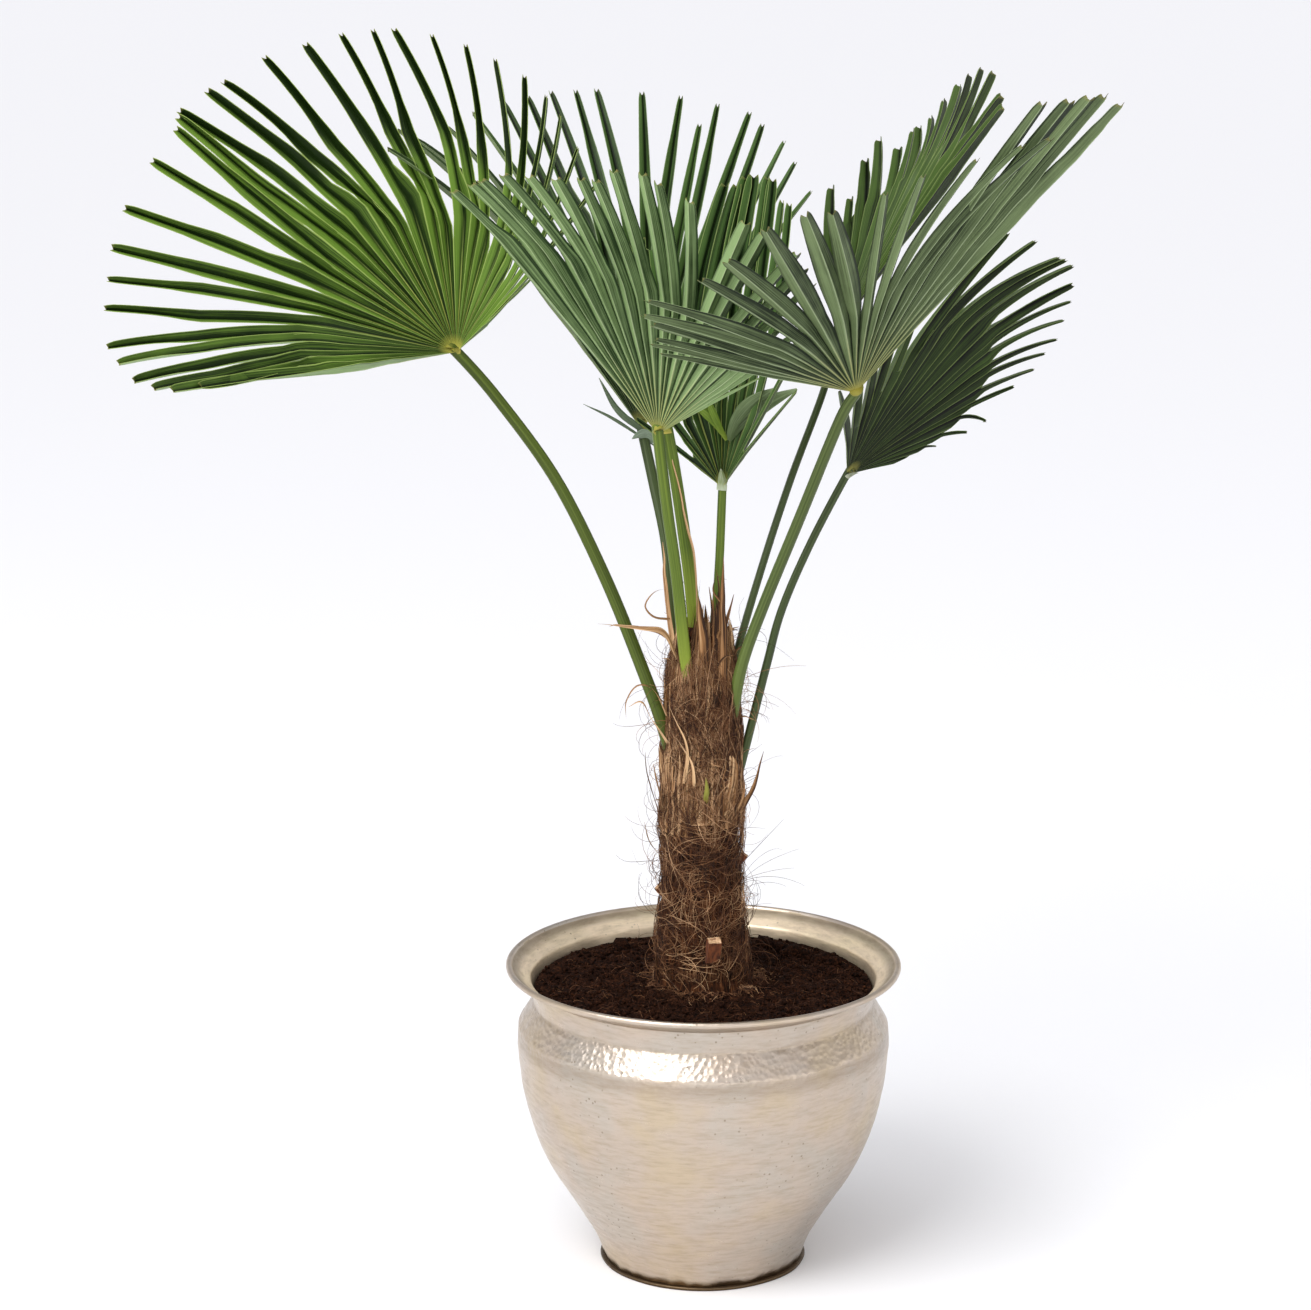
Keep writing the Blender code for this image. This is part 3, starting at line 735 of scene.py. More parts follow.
def dress(piece: bpy.types.Object, materials: Sequence[bpy.types.Material],
          nodes: Sequence[str] = (), crease: float = 35.0) -> bpy.types.Object:
    """Finish a piece: materials, shading, its body and the CAD nodes it stands for.

    Args:
        piece: The piece.
        materials: Its materials, in the order of its faces' numbers.
        nodes: CAD nodes that it replaces.
        crease: Angle in degrees past which an edge stays sharp.

    Returns:
        The piece.
    """
    numbers = [face.material_index for face in piece.data.polygons]
    piece.data.materials.clear()
    for material in materials:
        piece.data.materials.append(material)
    piece.data.polygons.foreach_set("material_index", [min(n, len(materials) - 1) for n in numbers])
    select_only(piece)
    bpy.ops.object.shade_smooth_by_angle(angle=math.radians(crease))
    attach(piece, BODY)
    if nodes:
        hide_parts(*nodes)
    piece.data.calc_loop_triangles()
    LOG.info("%s: %d triangles", piece.name, len(piece.data.loop_triangles))
    return piece


@dataclass
class Bundle:
    """Swept shapes that are gathered in one mesh: stems, strips of dried leaf or fibres."""

    vertices: list[Vector] = field(default_factory=list)
    faces: list[tuple[int, ...]] = field(default_factory=list)
    corners: list[tuple[float, float]] = field(default_factory=list)
    tones: list[float] = field(default_factory=list)

    def sweep(self, path: Sequence[Vector], section: Sequence[tuple[float, float]], sizes: Sequence[float],
              up: Vector, tone: float = 0.5, twist: float = 0.0) -> None:
        """Sweep a closed section along a path and close both ends.

        Args:
            path: Points that the section passes.
            section: Outline across and along "up", for size 1.
            sizes: Size of the section at each point.
            up: Where the section's second direction points at the start.
            tone: Shade of this shape, from 0 to 1.
            twist: Turn of the section over the whole path, in degrees.
        """
        first, count, last = len(self.vertices), len(section), len(path) - 1
        rise = up
        for i, point in enumerate(path):
            ahead = (path[min(i + 1, last)] - path[max(i - 1, 0)]).normalized()
            rise = rise - ahead * rise.dot(ahead)
            if rise.length < 1e-6:
                rise = ahead.orthogonal()
            rise.normalize()
            across = ahead.cross(rise)
            turn = math.radians(twist) * i / last
            a = across * math.cos(turn) + rise * math.sin(turn)
            b = rise * math.cos(turn) - across * math.sin(turn)
            self.vertices += [point + (a * x + b * y) * sizes[i] for x, y in section]
            self.tones += [tone] * count
        for i in range(last):
            v0, v1 = i / last, (i + 1) / last
            for j in range(count):
                k = (j + 1) % count
                low, high = first + i * count, first + (i + 1) * count
                self.faces.append((low + j, low + k, high + k, high + j))
                u0, u1 = j / count, (j + 1) / count
                self.corners += [(u0, v0), (u1, v0), (u1, v1), (u0, v1)]
        for ring, v in ((list(range(first + count - 1, first - 1, -1)), 0.0),
                        (list(range(first + last * count, first + (last + 1) * count)), 1.0)):
            self.faces.append(tuple(ring))
            self.corners += [(j / count, v) for j in range(count)]

    def piece(self, name: str) -> bpy.types.Object:
        """Return the gathered shapes as one piece, with their tones in the attribute "tone".

        Args:
            name: Name of the piece.

        Returns:
            The piece.
        """
        result = mesh_piece(name, self.vertices, self.faces, self.corners)
        result.data.attributes.new("tone", "FLOAT", "POINT").data.foreach_set("value", self.tones)
        face_outward(result)
        return result


# Pot and soil


@dataclass
class Pot:
    """Pot of thin hammered sheet with a rolled bead, standing on a flat plate."""

    steps: int = 240
    sheet: float = 0.0016
    bead: float = 0.0032
    even_radius: float = 0.18
    rim: tuple[float, float] = (0.1968, 0.3118)
    neck_top: tuple[float, float] = (0.1765, 0.2985)
    neck_bottom: tuple[float, float] = (0.1722, 0.2752)
    crest: tuple[float, float] = (0.1878, 0.2499)
    belly: tuple[tuple[float, float], ...] = (
        (0.1888, 0.230), (0.1845, 0.188), (0.1738, 0.145), (0.1570, 0.105), (0.1315, 0.064),
        (0.1115, 0.030), (0.1015, 0.0035))
    plate_radius: float = 0.1052
    plate_thickness: float = 0.0032
    outside: HammeredMetal = HammeredMetal("white_metal_hammered", ("c4b39b", "c3b4a5", "beb4a8"), "a08f78",
                                           "6a583f", 0.10, (0.26, 0.40))
    lining: HammeredMetal = HammeredMetal("white_metal_lining", ("f6e4c2", "f0dcbf", "e6d4b6"), "a59478",
                                          "4a3a26", 0.16, (0.34, 0.50), inside=True)
    underneath: HammeredMetal = HammeredMetal("white_metal_tarnished", ("bfb09a", "c4b6a2", "b0a28c"),
                                              "8b7a62", "4a3720", 0.08, (0.34, 0.50))

    def outer(self) -> Profile:
        """Return the outer side from under the bead down to the foot."""
        belly = smooth_path([(r, 0.0, z) for r, z in self.belly], 40)
        return [self.neck_top, self.neck_bottom, self.crest] + [(p.x, p.z) for p in belly]

    def wall(self) -> Profile:
        """Return the closed outline of the bead and both sides of the sheet.

        Returns:
            Radius and height of each point.
        """
        angles = [math.radians(170 - 245 * i / 11) for i in range(12)]
        (r, z), bead = self.rim, self.bead
        roll = [(r + bead * math.cos(a), z + bead * math.sin(a)) for a in angles]
        outer = ease_corners([roll[-1]] + self.outer()[:4], 0.0022)[1:-1] + self.outer()[3:]
        inner = move_inward(outer, self.sheet)
        inner[-1] = (outer[-1][0] - self.sheet, outer[-1][1])
        return split_long(roll + outer + inner[::-1] + [roll[0]], 0.0045)

    def dent(self, place: Vector) -> float:
        """Return how far the sheet is beaten in or out at a place.

        Args:
            place: Place on the wall.

        Returns:
            The distance, outward.
        """
        broad = noise.noise(place * 22) * 0.0007
        fine = noise.noise(place * 75 + Vector((3.0, 1.0, 7.0))) * 0.00035
        angle = math.atan2(place.y, place.x)
        foot = max(0.0, 1 - place.z / 0.022) ** 2
        wave = noise.noise(Vector((math.cos(angle) * 9, math.sin(angle) * 9, 0.5)))
        return broad + fine + foot * (0.0032 * wave - 0.0008)

    def beat(self, piece: bpy.types.Object) -> None:
        """Move a piece's wall in and out, as a hammer does, but leave its plane faces.

        Args:
            piece: The piece.
        """
        for vertex in piece.data.vertices:
            place = vertex.co.copy()
            radius = math.hypot(place.x, place.y)
            ease = min(1.0, max(0.0, (self.rim[1] - 0.004 - place.z) / 0.02)) * 0.85 + 0.15
            even = [value / radius * self.even_radius for value in place.xy]
            gain = 1 + self.dent(Vector((*even, place.z))) * ease / radius
            vertex.co.x *= gain
            vertex.co.y *= gain

    def build_body(self) -> bpy.types.Object:
        """Return the beaten pot, with its darker lining on all faces that look inward.

        Returns:
            The piece.
        """
        body = raise_rings("pot", self.wall(), self.steps, capped=False)
        self.beat(body)
        for face in body.data.polygons:
            inward = face.normal.x * face.center.x + face.normal.y * face.center.y
            outer = math.hypot(*face.center.xy) > self.rim[0] - 0.0030
            bead = outer and face.center.z > self.rim[1] - 0.0035
            face.material_index = 1 if inward < -0.02 * self.rim[0] and not bead else 0
        return dress(body, [self.outside.material(), self.lining.material()],
                     ["pot_body"], crease=60)

    def build_plate(self) -> bpy.types.Object:
        """Return the plate under the pot, with an eased and slightly uneven edge.

        Returns:
            The piece.
        """
        r, t, e = self.plate_radius, self.plate_thickness, 0.0009
        profile = [(r - e, 0.0), (r - e * 0.3, e * 0.3), (r, e), (r, t - e), (r - e * 0.3, t - e * 0.3),
                   (r - e, t), (r - 0.012, t)]
        plate = raise_rings("pot_plate", profile, self.steps, capped=True)
        for vertex in plate.data.vertices:
            radius = math.hypot(vertex.co.x, vertex.co.y)
            gain = 1 + noise.noise(Vector((vertex.co.x, vertex.co.y, 2.0)) * 30) * 0.0008 / radius
            vertex.co.x *= gain
            vertex.co.y *= gain
        return dress(plate, [self.underneath.material()], ["pot_base"], crease=50)

    def build(self) -> None:
        """Build the pot and its plate."""
        self.build_body()
        self.build_plate()


@dataclass
class Soil:
    """Peat that fills the pot to below the neck, with crumbs, clods and root fibres on it."""

    pot: Pot
    wall_level: float = 0.2885
    trunk_level: float = 0.2945
    gap: float = 0.0004
    steps: int = 300
    rings: int = 58
    crumbs: int = 3000
    crumb_ring: tuple[float, float] = (0.052, 0.168)
    threads: int = 520
    thread_ring: tuple[float, float] = (0.054, 0.160)
    thread_radius: float = 0.00016
    clod_crumbs: int = 14
    clods: tuple[tuple[float, float, float], ...] = (
        (0.066, 0.118, 0.011), (0.080, 0.112, 0.009), (0.094, 0.103, 0.012), (0.108, 0.090, 0.008),
        (0.121, 0.078, 0.010), (0.136, 0.060, 0.008), (0.050, 0.126, 0.008), (0.088, 0.088, 0.006),
        (-0.105, 0.095, 0.008), (-0.084, 0.116, 0.010), (-0.120, 0.060, 0.006))

    def drawn_radius(self, draw: random.Random, ring: tuple[float, float]) -> float:
        """Return a drawn distance from the axis, spread evenly over a ring's area."""
        return math.sqrt(draw.uniform(ring[0] ** 2, ring[1] ** 2))

    def level(self, x: float, y: float) -> float:
        """Return the height of the peat's surface at a place.

        Args:
            x: Place along X.
            y: Place along Y.

        Returns:
            The height.
        """
        radius = math.hypot(x, y)
        share = min(radius / self.pot.neck_bottom[0], 1.0)
        base = self.trunk_level + (self.wall_level - self.trunk_level) * share
        lumps = noise.noise(Vector((x, y, 1.0)) * 32) * 0.0040
        lumps += noise.noise(Vector((x, y, 4.0)) * 95) * 0.0038
        grit = noise.noise(Vector((x, y, 9.0)) * 260) * 0.0022
        bank = max(0.0, 1 - abs(radius - 0.060) / 0.030) * 0.0035
        edge = min(1.0, (self.pot.neck_bottom[0] - radius) / 0.006)
        return base + (lumps + grit) * max(edge, 0.0) + bank

    def build_body(self, peat: bpy.types.Material) -> bpy.types.Object:
        """Return the body of peat: its sides follow the pot and its top is crumbled.

        Args:
            peat: Material of the peat.

        Returns:
            The piece.
        """
        wall = move_inward(self.pot.outer(), self.pot.sheet + self.gap)
        wall = [p for p in wall if p[1] < self.wall_level - 0.004]
        wall[-1] = (wall[-1][0] - self.gap, self.pot.plate_thickness + self.gap)
        edge = self.pot.neck_bottom[0] + 0.0003 - self.pot.sheet
        top = [(edge * (1 - i / self.rings), self.wall_level) for i in range(self.rings)]
        body = raise_rings("soil_body", wall[::-1] + top, self.steps, capped=True)
        for vertex in body.data.vertices:
            if vertex.co.z > self.wall_level - 0.0005:
                vertex.co.z = self.level(vertex.co.x, vertex.co.y)
        return dress(body, [peat], ["soil"], crease=80)

    def build_crumbs(self, peat: bpy.types.Material) -> bpy.types.Object:
        """Return crumbs and clods: one rough pebble, copied over the surface.

        Args:
            peat: Material of the peat.

        Returns:
            The piece.
        """
        deselect_all()
        bpy.ops.mesh.primitive_ico_sphere_add(subdivisions=1, radius=1.0)
        pebble = bpy.context.object
        bpy.ops.object.mode_set(mode="EDIT")
        bpy.ops.mesh.select_all(action="SELECT")
        bpy.ops.transform.vertex_random(offset=0.28, seed=5)
        bpy.ops.object.mode_set(mode="OBJECT")
        shape = [v.co.copy() for v in pebble.data.vertices]
        sides = [tuple(p.vertices) for p in pebble.data.polygons]
        bpy.data.objects.remove(pebble, do_unlink=True)
        draw = random.Random("crumbs")
        places = list(self.clods)
        for _ in range(self.crumbs):
            angle = draw.uniform(0.0, math.tau)
            radius = self.drawn_radius(draw, self.crumb_ring)
            places.append((radius * math.cos(angle), radius * math.sin(angle),
                           draw.triangular(0.0006, 0.0036, 0.0010)))
        for x, y, size in self.clods:
            for _ in range(self.clod_crumbs):
                places.append((x + draw.gauss(0.0, size * 0.5), y + draw.gauss(0.0, size * 0.5),
                               size * draw.uniform(0.2, 0.5)))
        bundle = Bundle()
        for x, y, size in places:
            turn = Matrix.Rotation(draw.uniform(0.0, math.tau), 3,
                                   Vector((draw.random(), draw.random(), 1.0)))
            sizes = Vector((size * draw.uniform(0.7, 1.3), size * draw.uniform(0.7, 1.3), size * 0.8))
            lift = self.level(x, y) + size * draw.uniform(0.1, 0.45)
            start = len(bundle.vertices)
            for point in shape:
                sized = Vector(a * b for a, b in zip(point, sizes))
                bundle.vertices.append(Vector((x, y, lift)) + turn @ sized)
                bundle.tones.append(0.5)
            for side in sides:
                bundle.faces.append(tuple(start + i for i in side))
                bundle.corners += [(0.0, 0.0)] * 3
        return dress(bundle.piece("soil_crumbs"), [peat], crease=60)

    def build_threads(self, fibre: bpy.types.Material) -> bpy.types.Object:
        """Return the fine root fibres that lie on the peat.

        Args:
            fibre: Material of loose fibre.

        Returns:
            The piece.
        """
        draw = random.Random("threads")
        bundle = Bundle()
        for _ in range(self.threads):
            angle, radius = draw.uniform(0.0, math.tau), self.drawn_radius(draw, self.thread_ring)
            x, y = radius * math.cos(angle), radius * math.sin(angle)
            heading, turn = draw.uniform(0.0, math.tau), draw.uniform(-0.5, 0.5)
            step = draw.uniform(0.0016, 0.0046)
            path = []
            for i in range(6):
                path.append(Vector((x, y, self.level(x, y) + 0.0006 + 0.0012 * math.sin(i * 0.6))))
                x, y = x + math.cos(heading) * step, y + math.sin(heading) * step
                if math.hypot(x, y) > self.crumb_ring[1]:
                    break
                heading += turn
            if len(path) > 2:
                bundle.sweep(path, HAIR, [self.thread_radius] * len(path), UP, draw.uniform(0.1, 0.55))
        return dress(bundle.piece("soil_threads"), [fibre])

    def build(self, fibre: bpy.types.Material) -> None:
        """Build the peat and what lies on it.

        Args:
            fibre: Material of loose fibre.
        """
        peat = PeatSkin().material()
        self.build_body(peat)
        self.build_crumbs(peat)
        self.build_threads(fibre)


# Trunk

UP = Vector((0.0, 0.0, 1.0))
HAIR = tuple((math.cos(a), math.sin(a)) for a in (0.0, math.tau / 3, math.tau * 2 / 3))
STRIP = ((-1.0, -0.34), (-0.55, -0.10), (0.0, 0.0), (0.55, -0.10), (1.0, -0.34), (0.5, -0.22), (0.0, -0.11),
         (-0.5, -0.22))


@dataclass
class Trunk:
    """Short stem wrapped in matted fibre, with the cut stubs of old leaves."""

    steps: int = 120
    foot: tuple[float, float, float] = (0.0500, 0.262, 0.300)
    outline: tuple[tuple[float, float], ...] = (
        (0.0480, 0.310), (0.0445, 0.347), (0.0410, 0.378), (0.0385, 0.415), (0.0372, 0.455),
        (0.0362, 0.485), (0.0346, 0.520), (0.0330, 0.550), (0.0316, 0.586), (0.0290, 0.620),
        (0.0240, 0.648))
    top: tuple[float, float] = (0.017, 0.662)
    relief: float = 0.0014
    shift: float = -0.0020
    stubs: tuple[tuple[Point, Point, Point], ...] = (
        ((0.0090, -0.0478, 0.341), (0.0150, 0.0110, 0.0240), (0.12, -0.40, 1.0)),
        ((0.0375, -0.004, 0.424), (0.0070, 0.0100, 0.0110), (1.0, -0.2, 1.2)),
        ((-0.0415, -0.010, 0.392), (0.0070, 0.0110, 0.0130), (-1.0, -0.4, 1.2)))

    def radius(self, angle: float, height: float) -> float:
        """Return the distance of the trunk's skin from its axis.

        Args:
            angle: Direction from the axis, in radians.
            height: Height above the floor.

        Returns:
            The radius there, with the relief of the wrapped leaf bases.
        """
        line = self.outline
        if height <= line[0][1]:
            base = line[0][0]
        elif height >= line[-1][1]:
            share = min((height - line[-1][1]) / (self.top[1] - line[-1][1]), 1.0)
            base = line[-1][0] + (self.top[0] - line[-1][0]) * share
        else:
            low = max(i for i, (_, z) in enumerate(line) if z <= height)
            share = (height - line[low][1]) / (line[low + 1][1] - line[low][1])
            base = line[low][0] + (line[low + 1][0] - line[low][0]) * share
        climb = height * 95
        wave = math.sin(4 * angle + climb) * 0.6 + math.sin(5 * angle - climb * 0.8 + 1.0) * 0.5
        rough = noise.noise(Vector((math.cos(angle) * 3, math.sin(angle) * 3, height * 60))) * 1.1
        return base + self.relief * (wave + rough)

    def skin(self, angle: float, height: float, lift: float) -> Vector:
        """Return a place on the trunk, lifted off its skin.

        Args:
            angle: Direction from the axis.
            height: Height above the floor.
            lift: Distance off the skin.

        Returns:
            The point.
        """
        radius = self.radius(angle, height) + lift
        share = min(max((height - self.foot[2]) / 0.05, 0.0), 1.0)
        return Vector((radius * math.cos(angle) + self.shift * share, radius * math.sin(angle), height))

    def build_core(self, mat: bpy.types.Material) -> bpy.types.Object:
        """Return the body of the trunk under its loose fibres.

        Args:
            mat: Material of the matted fibre.

        Returns:
            The piece.
        """
        foot_radius, bottom, foot_top = self.foot
        profile = [(foot_radius, bottom), (foot_radius, foot_top)]
        profile += split_long([(r, z) for r, z in self.outline] + [self.top], 0.005)
        core = raise_rings("trunk_mat", profile, self.steps, capped=True)
        for vertex in core.data.vertices:
            if vertex.co.z > foot_top + 0.001:
                vertex.co = self.skin(math.atan2(vertex.co.y, vertex.co.x), vertex.co.z, 0.0)
        return dress(core, [mat], ["trunk"], crease=80)

    def build_stub(self, number: int, side: bpy.types.Material,
                   cut: bpy.types.Material) -> bpy.types.Object:
        """Return one cut leaf base: a block with a sawn face, a sunk pith and worn edges.

        Args:
            number: Number of the stub.
            side: Material of its sides.
            cut: Material of its sawn face.

        Returns:
            The piece.
        """
        centre, size, direction = self.stubs[number]
        deselect_all()
        bpy.ops.mesh.primitive_cube_add(size=1.0)
        stub = bpy.context.object
        stub.name = stub.data.name = "stub_%d" % number
        stub.scale = size
        bpy.ops.object.transform_apply(location=False, rotation=False, scale=True)
        for face in stub.data.polygons:
            face.select = face.normal.z > 0.9
        for edge in stub.data.edges:
            edge.select = False
        for vertex in stub.data.vertices:
            vertex.select = vertex.co.z > 0
        bpy.ops.object.mode_set(mode="EDIT")
        bpy.ops.mesh.select_mode(type="FACE")
        bpy.ops.transform.resize(value=(0.86, 0.80, 1.0), center_override=(0.0, 0.0, size[2] / 2))
        bpy.ops.mesh.inset(thickness=min(size) * 0.16, depth=-0.0008)
        bpy.ops.mesh.select_all(action="SELECT")
        bpy.ops.mesh.subdivide(number_cuts=3)
        bpy.ops.object.mode_set(mode="OBJECT")
        for vertex in stub.data.vertices:
            vertex.co += noise.noise_vector(vertex.co * 300 + Vector((number, 0, 0))) * 0.0009
        for face in stub.data.polygons:
            face.material_index = 1 if face.normal.z > 0.8 and face.center.z > 0 else 0
        turn = Vector(direction).to_track_quat("Z", "Y").to_matrix().to_4x4()
        stub.data.transform(Matrix.Translation(centre) @ turn)
        return dress(stub, [side, cut], crease=40)

    def build(self) -> None:
        """Build the trunk and its stubs."""
        self.build_core(MatSkin().material())
        side = WoodSkin("leaf_stub_dried", "7a4222", "3f2010").material()
        cut = WoodSkin("leaf_stub_sawn", "cba983", "8f6842").material()
        for number in range(len(self.stubs)):
            self.build_stub(number, side, cut)


@dataclass(frozen=True)
class Tuft:
    """Hairs that grow together.

    Attributes:
        angle: Direction of the root from the trunk's axis.
        height: Height of the root.
        slant: Run of the hairs over the trunk, from upright, in radians.
        curl: Change of that run at each step.
        step: Length of a step.
        tone: Shade of the tuft.
        lift: How far above the trunk's skin the hairs lie.
    """

    angle: float
    height: float
    slant: float
    curl: float
    step: float
    tone: float
    lift: float = 0.0


Route = Callable[[random.Random, Tuft], list[Vector]]


@dataclass
class FibreCoat:
    """Hair of the trunk: a swirling mat, strands up the sheaths, loose curls and a fan at the foot."""

    trunk: Trunk
    soil: Soil
    thickness: float = 0.00022
    swirls: int = 310
    strands: int = 200
    foot_tufts: int = 110
    levels: tuple[float, float] = (0.293, 0.705)
    girth_radius: float = 0.042
    crossing: tuple[tuple[float, float, float, float], ...] = (
        (-152, 0.575, 132, 0.0062), (-140, 0.465, 116, 0.0086), (-30, 0.480, -128, 0.0080),
        (-128, 0.525, 140, 0.0066), (-60, 0.440, -100, 0.0078), (-150, 0.370, 64, 0.0076),
        (-120, 0.395, -40, 0.0070), (-50, 0.375, 50, 0.0070))
    curly: tuple[tuple[float, float], ...] = (
        (178, 0.585), (186, 0.600), (170, 0.570), (200, 0.560), (-4, 0.600), (4, 0.590), (-15, 0.575),
        (10, 0.500), (-8, 0.480), (182, 0.500), (175, 0.520), (192, 0.450), (178, 0.440), (2, 0.440),
        (-6, 0.400), (184, 0.400), (176, 0.370), (-2, 0.360), (5, 0.380), (195, 0.470), (172, 0.620),
        (-10, 0.640), (60, 0.600), (120, 0.580), (90, 0.520), (50, 0.450), (130, 0.430), (100, 0.380),
        (-60, 0.560), (-120, 0.540), (-90, 0.470), (-80, 0.400), (-130, 0.420), (-50, 0.350),
        (-110, 0.340), (70, 0.340), (186, 0.340), (-4, 0.330))

    def swirl(self, draw: random.Random) -> Tuft:
        """Return a tuft of the matted lower trunk.

        Args:
            draw: Source of random numbers.

        Returns:
            The tuft.
        """
        height = draw.uniform(0.294, 0.590)
        slant = draw.choice((-1, 1)) * draw.uniform(0, 110) * (0.40 if height > 0.47 else 1.0)
        bright = draw.random() < 0.14
        angle, curl = draw.uniform(0.0, math.tau), draw.choice((-1, 1)) * draw.uniform(0.10, 0.55)
        step = draw.uniform(0.0030, 0.0062)
        tone = draw.uniform(0.65, 0.95) if bright else draw.uniform(0.10, 0.55)
        return Tuft(angle, height, math.radians(slant), curl, step, tone, 0.0030 if height > 0.44 else 0.0)

    def strand(self, draw: random.Random) -> Tuft:
        """Return a tuft that runs up the sheaths.

        Args:
            draw: Source of random numbers.

        Returns:
            The strand.
        """
        angle, height = draw.uniform(0.0, math.tau), draw.uniform(0.440, 0.615)
        slant, curl = math.radians(draw.uniform(-14, 14)), draw.uniform(-0.04, 0.04)
        return Tuft(angle, height, slant, curl, draw.uniform(0.0060, 0.0110), draw.uniform(0.05, 0.85),
                    0.0032)

    def wind(self, draw: random.Random, tuft: Tuft) -> list[Vector]:
        """Return the path of one hair that lies on the trunk.

        Args:
            draw: Source of random numbers.
            tuft: The tuft that the hair belongs to.

        Returns:
            Points from root to end.
        """
        angle = tuft.angle + draw.gauss(0.0, 0.24)
        height = tuft.height + draw.gauss(0.0, 0.011)
        slant, curl = tuft.slant + draw.gauss(0.0, 0.38), tuft.curl + draw.gauss(0.0, 0.14)
        step = tuft.step * draw.uniform(0.7, 1.25)
        lift, bow = tuft.lift + draw.uniform(0.0002, 0.0026), draw.uniform(0.0, 0.0028)
        path = []
        for i in range(8):
            path.append(self.trunk.skin(angle, height, lift + bow * math.sin(math.pi * i / 7)))
            height = min(max(height + step * math.cos(slant), self.levels[0]), self.levels[1])
            angle += step * math.sin(slant) / self.girth_radius
            slant += curl
        return path

    def fly(self, draw: random.Random, tuft: Tuft) -> list[Vector]:
        """Return the path of one hair that curls away from the trunk.

        Args:
            draw: Source of random numbers.
            tuft: The tuft that the hair belongs to.

        Returns:
            Points from root to end.
        """
        angle, height = tuft.angle + draw.gauss(0.0, 0.12), tuft.height + draw.gauss(0.0, 0.006)
        point = self.trunk.skin(angle, height, -0.001)
        out = Vector((math.cos(angle), math.sin(angle), 0.0))
        side = Vector((-math.sin(angle), math.cos(angle), 0.0))
        sideways = side * (tuft.slant + draw.gauss(0, 0.3))
        ahead = (out + sideways + Vector((0, 0, draw.gauss(0.5, 0.5)))).normalized()
        stray = Vector(draw.gauss(0, 0.35) for _ in range(3))
        axis = (side * math.cos(tuft.slant) + UP * math.sin(tuft.slant) + stray).normalized()
        bend = Matrix.Rotation(tuft.curl + draw.gauss(0.0, 0.10), 3, axis)
        step = tuft.step * draw.uniform(0.5, 1.15)
        path = [point]
        for _ in range(9):
            point = point + ahead * step
            path.append(point)
            ahead = (bend @ ahead + Vector((0, 0, -0.03))).normalized()
        return path

    def spread(self, draw: random.Random, tuft: Tuft) -> list[Vector]:
        """Return the path of one hair that comes down the foot and lies on the peat.

        Args:
            draw: Source of random numbers.
            tuft: The tuft that the hair belongs to.

        Returns:
            Points from root to end.
        """
        angle = tuft.angle + draw.gauss(0.0, 0.12)
        radius, swing = 0.0455, tuft.curl + draw.gauss(0.0, 0.10)
        heading, step = draw.gauss(0.0, 0.5), tuft.step * draw.uniform(0.6, 1.1)
        path = [self.trunk.skin(angle, 0.306 + draw.uniform(0.0, 0.014), 0.002)]
        for i in range(7):
            x, y = radius * math.cos(angle), radius * math.sin(angle)
            path.append(Vector((x, y, self.soil.level(x, y) + 0.0010 + 0.0030 * max(0.0, 1 - i / 2))))
            radius += step * math.cos(heading)
            angle += step * math.sin(heading) / radius
            heading += swing
        return path

    def gather(self, name: str, tufts: Sequence[Tuft], hairs: int, route: Route,
               size: float) -> bpy.types.Object:
        """Gather the hairs of many tufts in one piece.

        Args:
            name: Name of the piece, and seed of its draws.
            tufts: The tufts.
            hairs: Hairs in each.
            route: The method that gives a hair its path.
            size: Thickness, as a part of the usual one.

        Returns:
            The piece of hairs.
        """
        draw = random.Random(name)
        bundle = Bundle()
        for tuft in tufts:
            for _ in range(hairs):
                path = route(draw, tuft)
                width = self.thickness * size * draw.uniform(0.7, 1.4)
                sizes = [width * (1 - 0.6 * (i / (len(path) - 1)) ** 3) for i in range(len(path))]
                tone = min(max(tuft.tone + draw.gauss(0.0, 0.12), 0.0), 1.0)
                bundle.sweep(path, HAIR, sizes, UP, tone)
        return bundle.piece(name)

    def build(self, fibre: bpy.types.Material) -> None:
        """Build the mat, the strands, the crossing bundles, the curls and the fan at the foot.

        Args:
            fibre: Material of loose fibre.
        """
        draw = random.Random("tufts")
        mat = [self.swirl(draw) for _ in range(self.swirls)]
        strands = [self.strand(draw) for _ in range(self.strands)]
        bundles = [Tuft(math.radians(angle), height, math.radians(slant), draw.uniform(-0.03, 0.03), step,
                        draw.uniform(0.50, 0.8), 0.0034) for angle, height, slant, step in self.crossing]
        curls = [Tuft(math.radians(angle), height, draw.uniform(-0.8, 0.8),
                      draw.choice((-1, 1)) * draw.uniform(0.22, 0.58), draw.uniform(0.0032, 0.0094),
                      draw.uniform(0.25, 0.8)) for angle, height in self.curly]
        foot = [Tuft(draw.uniform(0.0, math.tau), 0.0, 0.0, draw.uniform(-0.3, 0.3),
                     draw.uniform(0.003, 0.006), draw.uniform(0.15, 0.7)) for _ in range(self.foot_tufts)]
        for name, tufts, hairs, route, size in (
                ("fibre_coat", mat, 14, self.wind, 1.0), ("fibre_strands", strands, 12, self.wind, 0.9),
                ("fibre_bundles", bundles, 13, self.wind, 0.85), ("fibre_curls", curls, 8, self.fly, 1.0),
                ("fibre_fan", foot, 9, self.spread, 0.9)):
            dress(self.gather(name, tufts, hairs, route, size), [fibre])


@dataclass(frozen=True)
class Strip:
    """One dried strip: where it runs, how wide it is and which way its crown looks."""

    name: str
    route: tuple[Point, ...]
    half_width: float
    outward: Point
    twist: float = 0.0
    tone: float = 0.6
    root: float = 1.0


